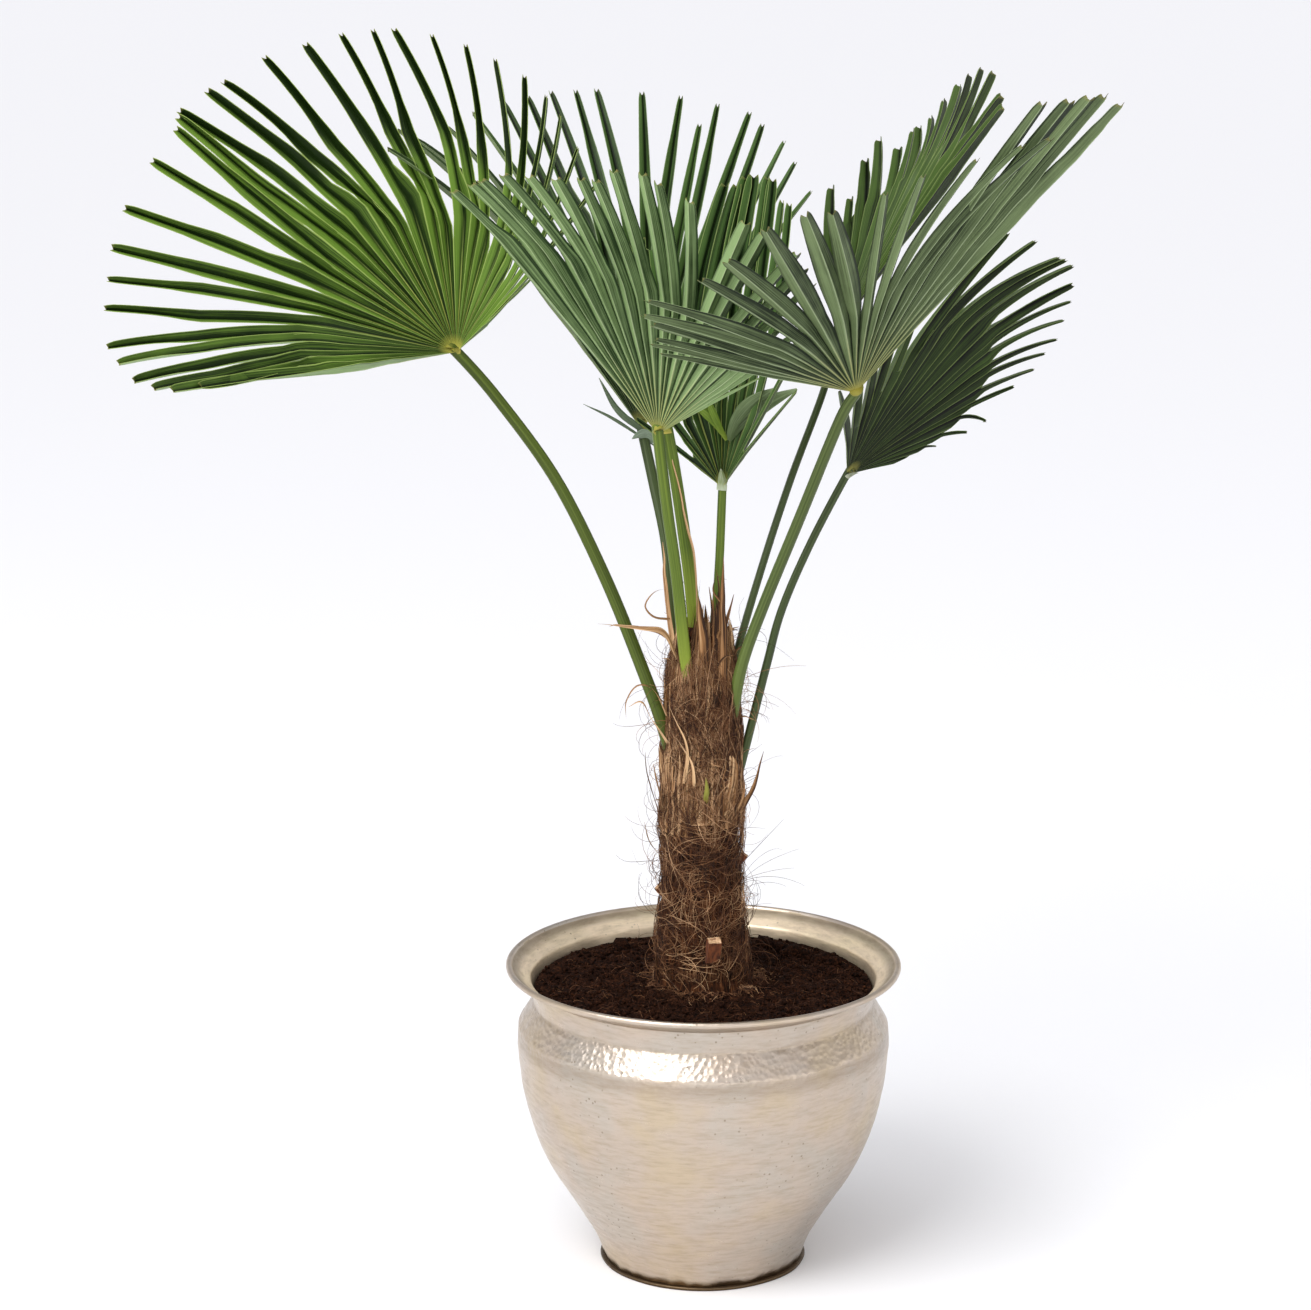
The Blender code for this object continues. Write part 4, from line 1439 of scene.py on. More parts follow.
@dataclass(frozen=True)
class Sheath:
    """One papery leaf base that wraps the trunk: its middle and half arc in degrees, and its heights."""

    middle: float
    half: float
    low: float
    high: float
    lift: float
    flare: float
    tone: float


@dataclass
class Crown:
    """Dried leaf bases round the crown: wrapping sheaths with torn tops, and curled strips."""

    trunk: Trunk
    columns: int = 30
    rows: int = 16
    sheet: float = 0.0005
    wrap_radius: float = 0.036
    wrap_top: float = 0.645
    torn_from: float = 0.72
    wisp_count: int = 46
    named: tuple[Strip, ...] = (
        Strip("dry_sheath_left", ((-0.029, -0.001, 0.600), (-0.034, 0.000, 0.650), (-0.040, 0.001, 0.705),
            (-0.041, 0.000, 0.747)), 0.0058, (-1, -0.6, 0), tone=0.55),
        Strip("dry_sheath_front", ((0.003, -0.029, 0.590), (0.000, -0.031, 0.640), (-0.003, -0.030, 0.670),
            (-0.006, -0.026, 0.697)), 0.0060, (0, -1, 0), tone=0.15),
        Strip("dry_sheath_right", ((0.017, -0.027, 0.595), (0.018, -0.027, 0.645), (0.017, -0.022, 0.690),
            (0.018, -0.014, 0.735)), 0.0050, (0.3, -1, 0), twist=60, tone=0.30),
        Strip("dry_ribbon", ((-0.0270, -0.018, 0.632), (-0.040, -0.030, 0.662), (-0.066, -0.042, 0.670),
            (-0.105, -0.048, 0.675)), 0.0038, (0, -1, 0.5), twist=-110, tone=0.55, root=0.25))
    sheaths: tuple[Sheath, ...] = (
        Sheath(90, 75, 0.590, 0.680, 0.000, 0.000, 0.21),
        Sheath(172, 36, 0.585, 0.706, 0.001, 0.004, 0.35),
        Sheath(-96, 26, 0.585, 0.688, 0.001, 0.000, 0.28),
        Sheath(-58, 13, 0.580, 0.700, 0.002, 0.003, -0.30),
        Sheath(-22, 24, 0.575, 0.672, 0.002, 0.004, 0.38),
        Sheath(22, 34, 0.580, 0.668, 0.001, 0.003, -0.05),
        Sheath(-128, 34, 0.535, 0.640, 0.002, 0.001, 0.42),
        Sheath(-66, 36, 0.530, 0.618, 0.002, 0.001, 0.18),
        Sheath(-8, 34, 0.520, 0.612, 0.002, 0.003, 0.35), Sheath(60, 46, 0.530, 0.625, 0.002, 0.002, 0.25),
        Sheath(130, 46, 0.530, 0.632, 0.002, 0.002, 0.35),
        Sheath(190, 30, 0.520, 0.610, 0.003, 0.003, 0.25),
        Sheath(-98, 44, 0.468, 0.560, 0.003, 0.001, 0.32),
        Sheath(-34, 36, 0.462, 0.545, 0.003, 0.003, 0.15),
        Sheath(28, 44, 0.470, 0.560, 0.003, 0.002, 0.32),
        Sheath(100, 48, 0.465, 0.565, 0.003, 0.002, 0.21),
        Sheath(165, 42, 0.462, 0.548, 0.003, 0.004, 0.38),
        Sheath(218, 34, 0.455, 0.540, 0.003, 0.002, 0.21))
    spikes: tuple[Strip, ...] = (
        Strip("spike_0", ((-0.041, -0.012, 0.455), (-0.049, -0.015, 0.485), (-0.056, -0.016, 0.510),
            (-0.059, -0.016, 0.537)), 0.0026, (-1, -0.5, 0), 60, 0.30),
        Strip("spike_1", ((-0.040, -0.014, 0.470), (-0.046, -0.020, 0.500), (-0.050, -0.022, 0.526)),
            0.0022, (-1, -0.5, 0), 90, 0.55),
        Strip("spike_2", ((-0.043, -0.004, 0.425), (-0.054, -0.006, 0.440), (-0.060, -0.008, 0.462)),
            0.0016, (-1, -0.5, 0), 90, 0.60),
        Strip("spike_3", ((0.034, -0.010, 0.468), (0.043, -0.014, 0.487), (0.051, -0.016, 0.506),
            (0.059, -0.016, 0.537)), 0.0028, (0.6, -1, 0), 70, 0.18),
        Strip("spike_4", ((0.030, -0.020, 0.472), (0.038, -0.026, 0.490), (0.040, -0.028, 0.510)), 0.0020,
            (0.6, -1, 0), 60, 0.35),
        Strip("lace_0", ((-0.036, -0.018, 0.545), (-0.052, -0.026, 0.572), (-0.062, -0.028, 0.590),
            (-0.075, -0.026, 0.585)), 0.0018, (-0.5, -1, 0), 150, 0.45),
        Strip("lace_1", ((-0.036, -0.014, 0.570), (-0.050, -0.020, 0.600), (-0.066, -0.022, 0.606),
            (-0.077, -0.020, 0.590), (-0.078, -0.020, 0.572)), 0.0012, (-0.5, -1, 0), 200, 0.40),
        Strip("lace_2", ((-0.020, -0.038, 0.510), (-0.018, -0.040, 0.548), (-0.036, -0.036, 0.590)), 0.0020,
            (0, -1, 0), 60, 0.50),
        Strip("lace_3", ((-0.010, -0.040, 0.505), (-0.014, -0.044, 0.535), (-0.030, -0.040, 0.560)), 0.0018,
            (0, -1, 0), 80, 0.45),
        Strip("curl_0", ((-0.036, -0.022, 0.655), (-0.050, -0.030, 0.664), (-0.084, -0.040, 0.672),
            (-0.094, -0.042, 0.671)), 0.0020, (0, -1, 0.5), -60, 0.40),
        Strip("curl_1", ((-0.034, -0.016, 0.672), (-0.050, -0.024, 0.676), (-0.059, -0.028, 0.688),
            (-0.050, -0.028, 0.702), (-0.036, -0.020, 0.704)), 0.0013, (0, -1, 0), 120, 0.35),
        Strip("curl_2", ((0.016, -0.020, 0.690), (0.008, -0.022, 0.702), (0.012, -0.020, 0.716),
            (0.022, -0.014, 0.712)), 0.0012, (0, -1, 0), 140, 0.30),
        Strip("point_0", ((0.014, -0.020, 0.640), (0.021, -0.022, 0.668), (0.029, -0.020, 0.698)), 0.0024,
            (0.5, -1, 0), 40, 0.10),
        Strip("point_1", ((0.006, -0.020, 0.640), (0.008, -0.020, 0.675), (0.004, -0.016, 0.705)), 0.0022,
            (0.5, -1, 0), 40, 0.05),
        Strip("point_2", ((0.010, -0.018, 0.650), (0.014, -0.016, 0.690), (0.012, -0.010, 0.722)), 0.0016,
            (0.5, -1, 0), 40, 0.02),
        Strip("spear_margin", ((-0.0076, -0.024, 0.672), (-0.0076, -0.018, 0.701), (-0.0106, -0.017, 0.739),
            (-0.0176, -0.019, 0.766), (-0.0245, -0.022, 0.801), (-0.0324, -0.026, 0.836),
            (-0.0363, -0.030, 0.8505)), 0.0014, (1, -0.3, 0), 120, 0.50))

    def add_strip(self, bundle: Bundle, strip: Strip) -> None:
        """Add one strip to a bundle, wider at its root and frayed towards its point.

        Args:
            bundle: Where the strip goes.
            strip: The strip.
        """
        count = 30
        path = smooth_path(strip.route, count)
        draw = random.Random(strip.name)
        phase = draw.uniform(0, 6)
        sizes = []
        for i in range(count):
            t = i / (count - 1)
            taper = (1 - 0.93 * t ** 2.2) * (1 + 0.10 * math.sin(t * 19 + phase) * t)
            sizes.append(strip.half_width * taper * (strip.root + (1 - strip.root) * min(t / 0.4, 1.0)))
        for i, point in enumerate(path):
            t = i / (count - 1)
            point += noise.noise_vector(point * 60 + Vector((phase, 0, 0))) * 0.0012 * t
        bundle.sweep(path, STRIP, sizes, Vector(strip.outward), strip.tone, strip.twist)

    def build_sheaths(self, dried: bpy.types.Material) -> bpy.types.Object:
        """Return the wrapping leaf bases: curved sheets whose tops are torn into teeth.

        Args:
            dried: Material of dried leaf.

        Returns:
            The piece.
        """
        vertices, faces, corners, tones = [], [], [], []
        draw = random.Random("sheaths")
        for sheath in self.sheaths:
            first = len(vertices)
            lost = [draw.uniform(0.0, 0.022) for _ in range(self.columns + 1)]
            tops = [sheath.high - value - 0.010 * (j % 3 == 1) for j, value in enumerate(lost)]
            width = math.radians(sheath.half) * 2 * self.wrap_radius
            for i in range(self.rows + 1):
                t = i / self.rows
                for j in range(self.columns + 1):
                    s = 2 * j / self.columns - 1
                    angle = math.radians(sheath.middle + sheath.half * s * (1 - 0.30 * t * t))
                    angle += 0.10 * (t - 0.5)
                    height = sheath.low + (tops[j] - sheath.low) * t
                    folds = noise.noise(Vector((s * sheath.half / 5, sheath.middle, height * 7))) * 0.0034
                    lift = sheath.lift + sheath.flare * t * t + abs(folds) + 0.0004
                    point = self.trunk.skin(angle, min(height, self.wrap_top), lift)
                    shrink = 1 - 0.30 * max(0.0, (height - self.wrap_top) / 0.06)
                    vertices.append(Vector((point.x * shrink, point.y * shrink, height)))
                    tones.append(sheath.tone)
            for i in range(self.rows):
                for j in range(self.columns):
                    low, high = first + i * (self.columns + 1) + j, first + (i + 1) * (self.columns + 1) + j
                    # Near the top every third column is torn out
                    if i > self.rows * self.torn_from and j % 3 == 1:
                        continue
                    faces.append((low, low + 1, high + 1, high))
                    u0, u1 = (k / self.columns * width / 0.012 for k in (j, j + 1))
                    v0, v1 = i / self.rows, (i + 1) / self.rows
                    corners += [(u0, v0), (u1, v0), (u1, v1), (u0, v1)]
        sheets = mesh_piece("crown_sheaths", vertices, faces, corners)
        sheets.data.attributes.new("tone", "FLOAT", "POINT").data.foreach_set("value", tones)
        select_only(sheets)
        wall = sheets.modifiers.new("thickness", "SOLIDIFY")
        wall.thickness = self.sheet
        wall.offset = 0.0
        bpy.ops.object.modifier_apply(modifier=wall.name)
        return dress(sheets, [dried], crease=50)

    def wisps(self) -> list[Strip]:
        """Return narrow torn strips that curl out of the crown and the upper trunk.

        Returns:
            The strips.
        """
        draw = random.Random("wisps")
        strips = []
        for i in range(self.wisp_count):
            angle = draw.uniform(0, math.tau)
            low = draw.uniform(0.46, 0.66)
            out = Vector((math.cos(angle), math.sin(angle), 0))
            side = Vector((-math.sin(angle), math.cos(angle), 0))
            start = self.trunk.skin(angle, min(low, self.wrap_top), 0.0015)
            reach = draw.uniform(0.018, 0.042)
            sway, lift = draw.uniform(-1, 1), draw.uniform(0.5, 1.2)
            route = []
            for t in (0.0, 0.33, 0.66, 1.0):
                rise = Vector((0, 0, lift * t - 0.35 * t ** 3))
                route.append(start + (out * (0.45 * t * t) + side * sway * t * t * 0.5 + rise) * reach)
            strips.append(Strip("wisp_%d" % i, tuple(tuple(p) for p in route), draw.uniform(0.0006, 0.0018),
                                tuple(out), draw.uniform(-160, 160), draw.uniform(-0.1, 0.6)))
        return strips

    def build(self, dried: bpy.types.Material) -> None:
        """Build the named sheaths, the wrapping leaf bases, the spikes and the torn wisps.

        Args:
            dried: Material of dried leaf.
        """
        for strip in self.named:
            bundle = Bundle()
            self.add_strip(bundle, strip)
            dress(bundle.piece(strip.name + "_leaf"), [dried], [strip.name], crease=70)
        self.build_sheaths(dried)
        for name, strips in (("crown_spikes", self.spikes), ("crown_wisps", self.wisps())):
            bundle = Bundle()
            for strip in strips:
                self.add_strip(bundle, strip)
            dress(bundle.piece(name), [dried], crease=70)


# Leaves


@dataclass
class Finger:
    """One leaflet beyond the joined part of the blade.

    Attributes:
        root: Angle at which its rib leaves the hub.
        tip: Angle at which it ends.
        reach: Distance of its end from the hub.
        lean: How far its end stands off the blade.
        roll: Turn about its rib at the end, in radians.
        fold: Slant of its halves at the end, in radians.
        elbow: How far its kink stands out sideways.
        gaps: Part of its length at which the gaps on its left and right open.
    """

    root: float
    tip: float
    reach: float
    lean: Vector
    roll: float
    fold: float
    elbow: float
    gaps: tuple[float, float]


@dataclass
class Frond:
    """One fan leaf: its stem, its crest and its pleated blade.

    Attributes:
        hub: Where the blade's ribs meet.
        heading: Compass direction of the blade's middle, in degrees from +X.
        rise: Its angle above the horizon.
        turn: How far the blade is rolled about its middle.
        spread: Angles of the left and right edge from the middle.
        reach: Length of the leaflets at the left edge, in the middle and at the right edge.
        cup: How far the edges are lifted, in degrees.
        droop: How much the blade hangs.
        leaflets: Number of leaflets left and right of the middle.
        split: Part of the length that is joined, at the left edge, middle and right edge.
        front: Side that looks at the front.
        stem: Points of the stem before the hub.
        stem_radii: Half width of the stem at the trunk and at the hub.
        slot: Material slot of the record; not used.
        looks: Skins of the blade's upper side and underside.
        rind: Skin of the stem.
        tips: Pixels of the photograph in which leaflets end, from the left edge on.
        fold: Slant of the leaflets' halves at their ends, from the left to the right edge, in degrees.
        widest: Part of its length at which a leaflet is widest, from the left to the right edge.
        blunt: Width of a leaflet near its end, as part of its greatest, from the left to the right edge.
        kink: Part of the free length at which leaflets kink, at the left and right edge, and how far.
        rolls: Turn of the leaflets at the left edge, in the middle and at the right edge.
        late: Share of the gaps that open late.
        openings: Gaps that open earlier or later than the rest: number from the left edge and share.
        places: Numbers of the leaflets that the tips belong to, where they aren't simply the nearest.
        stray: How many leaflets' width a tip may stand beside its rib's line.
        hang: How far in metres a leaflet's end may bend off the blade to meet its tip.
        crest: Length, half width and colour of the small scale at the hub.
    """

    name: str
    hub: Point
    heading: float
    rise: float
    turn: float
    spread: tuple[float, float]
    reach: tuple[float, float, float]
    cup: tuple[float, float]
    droop: float
    leaflets: tuple[int, int]
    split: tuple[float, float, float]
    front: Side
    stem: tuple[Point, ...]
    stem_radii: tuple[float, float]
    slot: str
    looks: tuple[LeafSkin, LeafSkin]
    rind: StemSkin
    tips: tuple[tuple[float, float], ...] = ()
    fold: tuple[float, float, float] = (50.0, 50.0, 50.0)
    widest: tuple[float, float, float] = (0.5, 0.5, 0.5)
    blunt: tuple[float, float, float] = (0.45, 0.45, 0.45)
    kink: tuple[float, float, float] = (0.6, 0.6, 0.0)
    rolls: tuple[float, float, float] = (0.0, 0.0, 0.0)
    late: float = 0.2
    openings: tuple[tuple[int, float], ...] = ()
    places: tuple[int, ...] = ()
    stray: float = 1.2
    hang: float = 0.035
    crest: tuple[float, float, str] = (0.007, 0.0030, "a89a4a")
    columns: int = 6
    fused_rows: int = 10
    free_rows: tuple[float, ...] = (
        0.06, 0.12, 0.19, 0.27, 0.35, 0.43, 0.51, 0.58, 0.65, 0.72, 0.79, 0.86, 0.92, 0.96, 0.985, 1.0)
    thickness: float = 0.0005
    hub_ring: float = 0.005
    pleat: float = math.radians(47)
    slack: float = math.radians(41)
    notch: float = 0.004
    axes: tuple[Vector, Vector, Vector] = field(init=False)
    fingers: list[Finger] = field(init=False)

    def __post_init__(self) -> None:
        """Work out the blade's middle, sideways and normal directions, then its leaflets."""
        heading, rise, turn = (math.radians(a) for a in (self.heading, self.rise, self.turn))
        middle = Vector((math.cos(rise) * math.cos(heading), math.cos(rise) * math.sin(heading),
                         math.sin(rise)))
        look = Vector((0.0, -1.0, 0.25))
        level = (look - look.dot(middle) * middle).normalized()
        side = math.cos(turn) * middle.cross(level) + math.sin(turn) * level
        self.axes = (middle, side, side.cross(middle))
        self.fingers = self.plan_fingers()

    def rib_direction(self, angle: float) -> Vector:
        """Return the direction in which a rib leaves the hub, for an angle from the middle.

        Args:
            angle: Angle of the rib from the middle.

        Returns:
            The direction.
        """
        middle, side, normal = self.axes
        end = 0 if angle < 0 else 1
        lift = math.radians(self.cup[end]) * (angle / self.spread[end]) ** 2
        turn = math.radians(angle)
        return math.cos(lift) * (math.cos(turn) * middle + math.sin(turn) * side) + math.sin(lift) * normal

    def rib_axes(self, angle: float) -> tuple[Vector, Vector, Vector]:
        """Return the directions along a rib, across it in the blade and square to the blade.

        Args:
            angle: Angle of the rib.

        Returns:
            The three directions.
        """
        along = self.rib_direction(angle)
        across = (self.rib_direction(angle + 0.5) - self.rib_direction(angle - 0.5)).normalized()
        return along, across, across.cross(along).normalized()

    def over_blade(self, values: tuple[float, float, float], angle: float) -> float:
        """Return a value that runs smoothly from the left edge over the middle to the right edge.

        Args:
            values: Value at the left edge, in the middle and at the right edge.
            angle: Angle from the middle.

        Returns:
            The value there.
        """
        left, middle, right = values
        end, value = (self.spread[0], left) if angle < 0 else (self.spread[1], right)
        return middle + (value - middle) * min((angle / end) ** 2, 1.2)

    def rib_length(self, angle: float) -> float:
        """Return how far the blade reaches at an angle."""
        return self.over_blade(self.reach, angle)

    def split_distance(self, angle: float) -> float:
        """Return the distance from the hub at which the first leaflets come apart."""
        return self.rib_length(angle) * self.over_blade(self.split, angle)

    def rib_angle(self, place: float) -> float:
        """Return the angle of a place counted in leaflets from the left edge.

        Args:
            place: Place counted in leaflets.

        Returns:
            The angle.
        """
        left, right = self.leaflets
        edge = min(1.0, place, left + right - place)
        uneven = place + 0.14 * edge * math.sin(place * 2.3 + len(self.name))
        if uneven < left:
            return self.spread[0] * (uneven / left - 1)
        return self.spread[1] * (uneven - left) / right

    def rib_step(self, angle: float) -> float:
        """Return the angle between two ribs on the side that an angle lies on."""
        end = 0 if angle < 0 else 1
        return self.spread[end] / self.leaflets[end]

    def blade_point(self, angle: float, distance: float, height: float) -> Vector:
        """Return a point of the blade, raised off its middle surface.

        Args:
            angle: Angle from the middle.
            distance: Distance from the hub.
            height: Height over the surface.

        Returns:
            The point.
        """
        along, _, normal = self.rib_axes(angle)
        point = Vector(self.hub) + along * distance + normal * height
        point.z -= self.droop * distance ** 2 / self.rib_length(angle)
        return point

    def pleat_height(self, angle: float, distance: float) -> float:
        """Return how far a rib or a seam lies from the blade's middle surface."""
        return distance * math.radians(self.rib_step(angle)) / 4 * math.tan(self.pleat)

    def joined_point(self, place: float, distance: float) -> Vector:
        """Return a point of the joined part of the blade.

        Args:
            place: Place counted in leaflets from the left edge.
            distance: Distance from the hub.

        Returns:
            The point, high at the seams and low at the ribs.
        """
        angle = self.rib_angle(place)
        s = abs(2 * (place % 1.0) - 1)
        bulge = 2 * s - 1 + 0.16 * math.sin(math.pi * s)
        ripple = noise.noise(Vector((place * 0.8, distance * 28, len(self.name)))) * 0.010 * distance
        height = bulge * self.front.value * self.pleat_height(angle, distance)
        return self.blade_point(angle, distance, height + ripple)

    def aim(self, pixel: tuple[float, float], angle: float, distance: float) -> tuple[float, float]:
        """Find the place on the blade that shows in a pixel of the photograph.

        Args:
            pixel: The pixel.
            angle: Angle to start from.
            distance: Distance to start from.

        Returns:
            Its angle and its distance.
        """
        goal = Vector(pixel)
        for _ in range(25):
            here = LENS.pixel(self.blade_point(angle, distance, 0.0))
            by_angle = (LENS.pixel(self.blade_point(angle + 0.1, distance, 0.0)) - here) / 0.1
            by_reach = (LENS.pixel(self.blade_point(angle, distance + 0.001, 0.0)) - here) / 0.001
            area = by_angle.x * by_reach.y - by_angle.y * by_reach.x
            if abs(area) < 1.0:
                break
            gap = goal - here
            angle += min(max((gap.x * by_reach.y - gap.y * by_reach.x) / area, -2.0), 2.0)
            distance += min(max((by_angle.x * gap.y - by_angle.y * gap.x) / area, -0.015), 0.015)
            angle = min(max(angle, -self.spread[0] - 5), self.spread[1] + 5)
            distance = min(max(distance, 0.55 * self.rib_length(angle)), 1.22 * self.rib_length(angle))
        return angle, distance

    def tie(self, index: int, pixel: tuple[float, float], angle: float,
            distance: float) -> tuple[float, float, Vector]:
        """Give a leaflet its end, kept near its own rib and bent off the blade to meet its pixel.

        Args:
            index: Number of the leaflet.
            pixel: Pixel of its tip.
            angle: Angle of the place on the blade that shows there.
            distance: Distance of that place.

        Returns:
            Angle, distance and bend of the leaflet's end.
        """
        root = self.rib_angle(index + 0.5)
        most = self.stray * self.rib_step(root)
        angle = min(max(angle, root - most), root + most)
        point = self.blade_point(angle, distance, 0.0)
        missing = LENS.point(*pixel, point.y) - point
        return angle, distance, missing * min(1.0, self.hang / max(missing.length, 1e-6))

    def plan_fingers(self) -> list[Finger]:
        """Give each leaflet its end: that of the photograph where it shows, else a drawn one.

        Returns:
            The leaflets.
        """
        total = sum(self.leaflets)
        draw = random.Random(self.name)
        ends: dict[int, tuple[float, float, Vector]] = {}
        angle, distance = -self.spread[0], self.rib_length(-self.spread[0])
        last = -1
        for number, pixel in enumerate(self.tips):
            angle, distance = self.aim(pixel, angle, distance)
            nearest = min(range(total), key=lambda i: abs(self.rib_angle(i + 0.5) - angle))
            last = min(max(last + 1, nearest), total - len(self.tips) + number)
            if self.places:
                last = self.places[number]
            ends[last] = self.tie(last, pixel, angle, distance)
        gaps = []
        for index in range(total + 1):
            share = self.over_blade(self.split, self.rib_angle(index))
            delay = draw.uniform(0.05, 0.14) if draw.random() < self.late else draw.uniform(0.0, 0.04)
            gaps.append(dict(self.openings).get(index, share + delay))
        fingers = []
        for index in range(total):
            root = self.rib_angle(index + 0.5)
            drawn = (root + draw.uniform(-0.3, 0.3) * self.rib_step(root),
                     self.rib_length(root) * draw.uniform(0.88, 0.98), Vector((0.0, 0.0, 0.0)))
            tip, reach, lean = ends.get(index, drawn)
            roll = self.over_blade(self.rolls, root) + draw.uniform(-16, 16)
            fingers.append(Finger(root, tip, reach, lean, math.radians(roll),
                                  math.radians(self.over_blade(self.fold, root) + draw.uniform(-8, 8)),
                                  self.kink[2] * draw.uniform(-1.0, 1.0), (gaps[index], gaps[index + 1])))
        return fingers

    def finger_row(self, index: int, t: float) -> list[Vector]:
        """Return one row of points across a free leaflet.

        Args:
            index: Number of the leaflet from the left edge.
            t: Part of the free length.

        Returns:
            The points from its left to its right edge.
        """
        finger = self.fingers[index]
        start = self.split_distance(finger.root)
        distance = start + (finger.reach - start) * t
        kink = self.kink[0] + (self.kink[1] - self.kink[0]) * index / sum(self.leaflets)
        bent = 1 - abs(t - kink) / (kink if t < kink else 1 - kink)
        sideways = (finger.tip - finger.root) * t ** 1.35 * finger.reach / distance
        angle = finger.root + sideways + math.degrees(finger.elbow * bent ** 1.5 / distance)
        along, across, normal = self.rib_axes(angle)
        rib = self.blade_point(angle, distance, 0.0) + finger.lean * t * t
        turned = finger.roll * math.sin(math.pi / 2 * t)
        across, normal = (across * math.cos(turned) + normal * math.sin(turned),
                          normal * math.cos(turned) - across * math.sin(turned))
        flat = self.pleat + (self.slack - self.pleat) * min(t / kink, 1.0)
        shut = min(max((t - kink) / 0.18, 0.0), 1.0)
        fold = flat + (finger.fold - flat) * shut * shut * (3 - 2 * shut)
        share = distance / finger.reach
        widest, blunt = (self.over_blade(values, finger.root) for values in (self.widest, self.blunt))
        limit = widest * (1 - (1 - blunt) * (max(share - widest, 0.0) / (1 - widest)) ** 1.3)
        width = finger.reach * (share ** -6 + limit ** -6) ** (-1 / 6)
        width *= math.radians(self.rib_step(finger.root)) / 2 / math.cos(self.pleat)
        width *= math.sqrt(1 - (max(t - 0.94, 0.0) / 0.06) ** 2 * 0.60)
        row = []
        for k in range(self.columns + 1):
            s = 2 * k / self.columns - 1
            rise = abs(s) + 0.08 * math.sin(math.pi * abs(s)) - 0.5
            back = self.notch * (1 - abs(s)) if t >= 1.0 else 0.0
            free = (rib + across * (s * width * math.cos(fold)) - along * back
                    + normal * (self.front.value * rise * width * math.sin(fold)))
            opening = finger.gaps[0] * (1 - k / self.columns) + finger.gaps[1] * k / self.columns
            apart = min(max((share - opening) / 0.10 + 0.15, (t - 0.7) / 0.25, 0.0), 1.0)
            apart = apart * apart * (3 - 2 * apart)
            place = index + min(k / self.columns, 0.9999)
            row.append(self.joined_point(place, distance).lerp(free, apart))
        return row

    def build_blade(self, skins: list[bpy.types.Material]) -> bpy.types.Object:
        """Return the pleated fan, joined near the hub and cut into leaflets further out.

        Args:
            skins: Materials of the upper side and the underside.

        Returns:
            The piece.
        """
        total, columns = sum(self.leaflets), self.columns
        vertices, faces, corners = [], [], []

        def quad(a: int, b: int, c: int, d: int, u: float, v0: float, v1: float) -> None:
            """Add one face, wound so that it looks along the upper side.

            Args:
                a: First vertex, at the hub's side.
                b: Second vertex.
                c: Third vertex.
                d: Fourth vertex.
                u: Place across the blade.
                v0: Place along the blade at the hub's side.
                v1: Place along the blade at the far side.
            """
            ring = ((a, (u, v0)), (b, (u + 1 / columns, v0)), (c, (u + 1 / columns, v1)), (d, (u, v1)))
            if self.front is Side.UNDER:
                ring = ring[::-1]
            faces.append(tuple(i for i, _ in ring))
            corners.extend(place for _, place in ring)

        width = total * columns + 1
        shares = [(i / self.fused_rows) ** 1.15 for i in range(self.fused_rows + 1)]
        for t in shares:
            for j in range(width):
                far = self.split_distance(self.rib_angle(j / columns))
                vertices.append(self.joined_point(j / columns, self.hub_ring + (far - self.hub_ring) * t))
        for i in range(self.fused_rows):
            for j in range(width - 1):
                share = self.over_blade(self.split, self.rib_angle(j / columns))
                low, high = i * width + j, (i + 1) * width + j
                quad(low, low + 1, high + 1, high, j / columns, share * shares[i], share * shares[i + 1])
        for index in range(total):
            share = self.over_blade(self.split, self.rib_angle(index + 0.5))
            low = [self.fused_rows * width + index * columns + k for k in range(columns + 1)]
            before = 0.0
            for t in self.free_rows:
                high = [len(vertices) + k for k in range(columns + 1)]
                vertices += self.finger_row(index, t)
                for k in range(columns):
                    quad(low[k], low[k + 1], high[k + 1], high[k], index + k / columns,
                         share + (1 - share) * before, share + (1 - share) * t)
                low, before = high, t
        blade = mesh_piece(self.name + "_blade", vertices, faces, corners)
        select_only(blade)
        for skin in skins:
            blade.data.materials.append(skin)
        wall = blade.modifiers.new("thickness", "SOLIDIFY")
        wall.thickness = self.thickness
        wall.offset = 0.0
        wall.material_offset = 1
        bpy.ops.object.modifier_apply(modifier=wall.name)
        return dress(blade, skins, [self.name], crease=32)

    def build_stem(self, rind: bpy.types.Material) -> bpy.types.Object:
        """Return the stem: flat above, round below, and spread like a fan where the ribs begin.

        Args:
            rind: Material of the stem.

        Returns:
            The piece.
        """
        count = 60
        middle, _, normal = self.axes
        path = smooth_path(list(self.stem) + [self.hub, tuple(Vector(self.hub) + middle * 0.006)], count)
        section = [(1.10 * math.cos(a), (0.62 if math.sin(a) > 0 else 0.92) * math.sin(a))
                   for a in (math.tau * k / 14 for k in range(14))]
        low, high = self.stem_radii
        sizes = []
        for i in range(count):
            t = i / (count - 1)
            head = max(0.0, (t - 0.93) / 0.07)
            flare = 0.38 * math.sin(math.pi * min(head, 1.0) * 0.62)
            flare -= 0.75 * max(0.0, head - 0.62) ** 1.5 * 4.27
            foot = 0.12 * max(0.0, 1 - t / 0.25) ** 2
            sizes.append((low + (high - low) * t) * max(0.2, 1 + flare + foot))
        bundle = Bundle()
        bundle.sweep(path, section, sizes, normal * self.front.value)
        return dress(bundle.piece(self.name + "_stem"), [rind], crease=60)

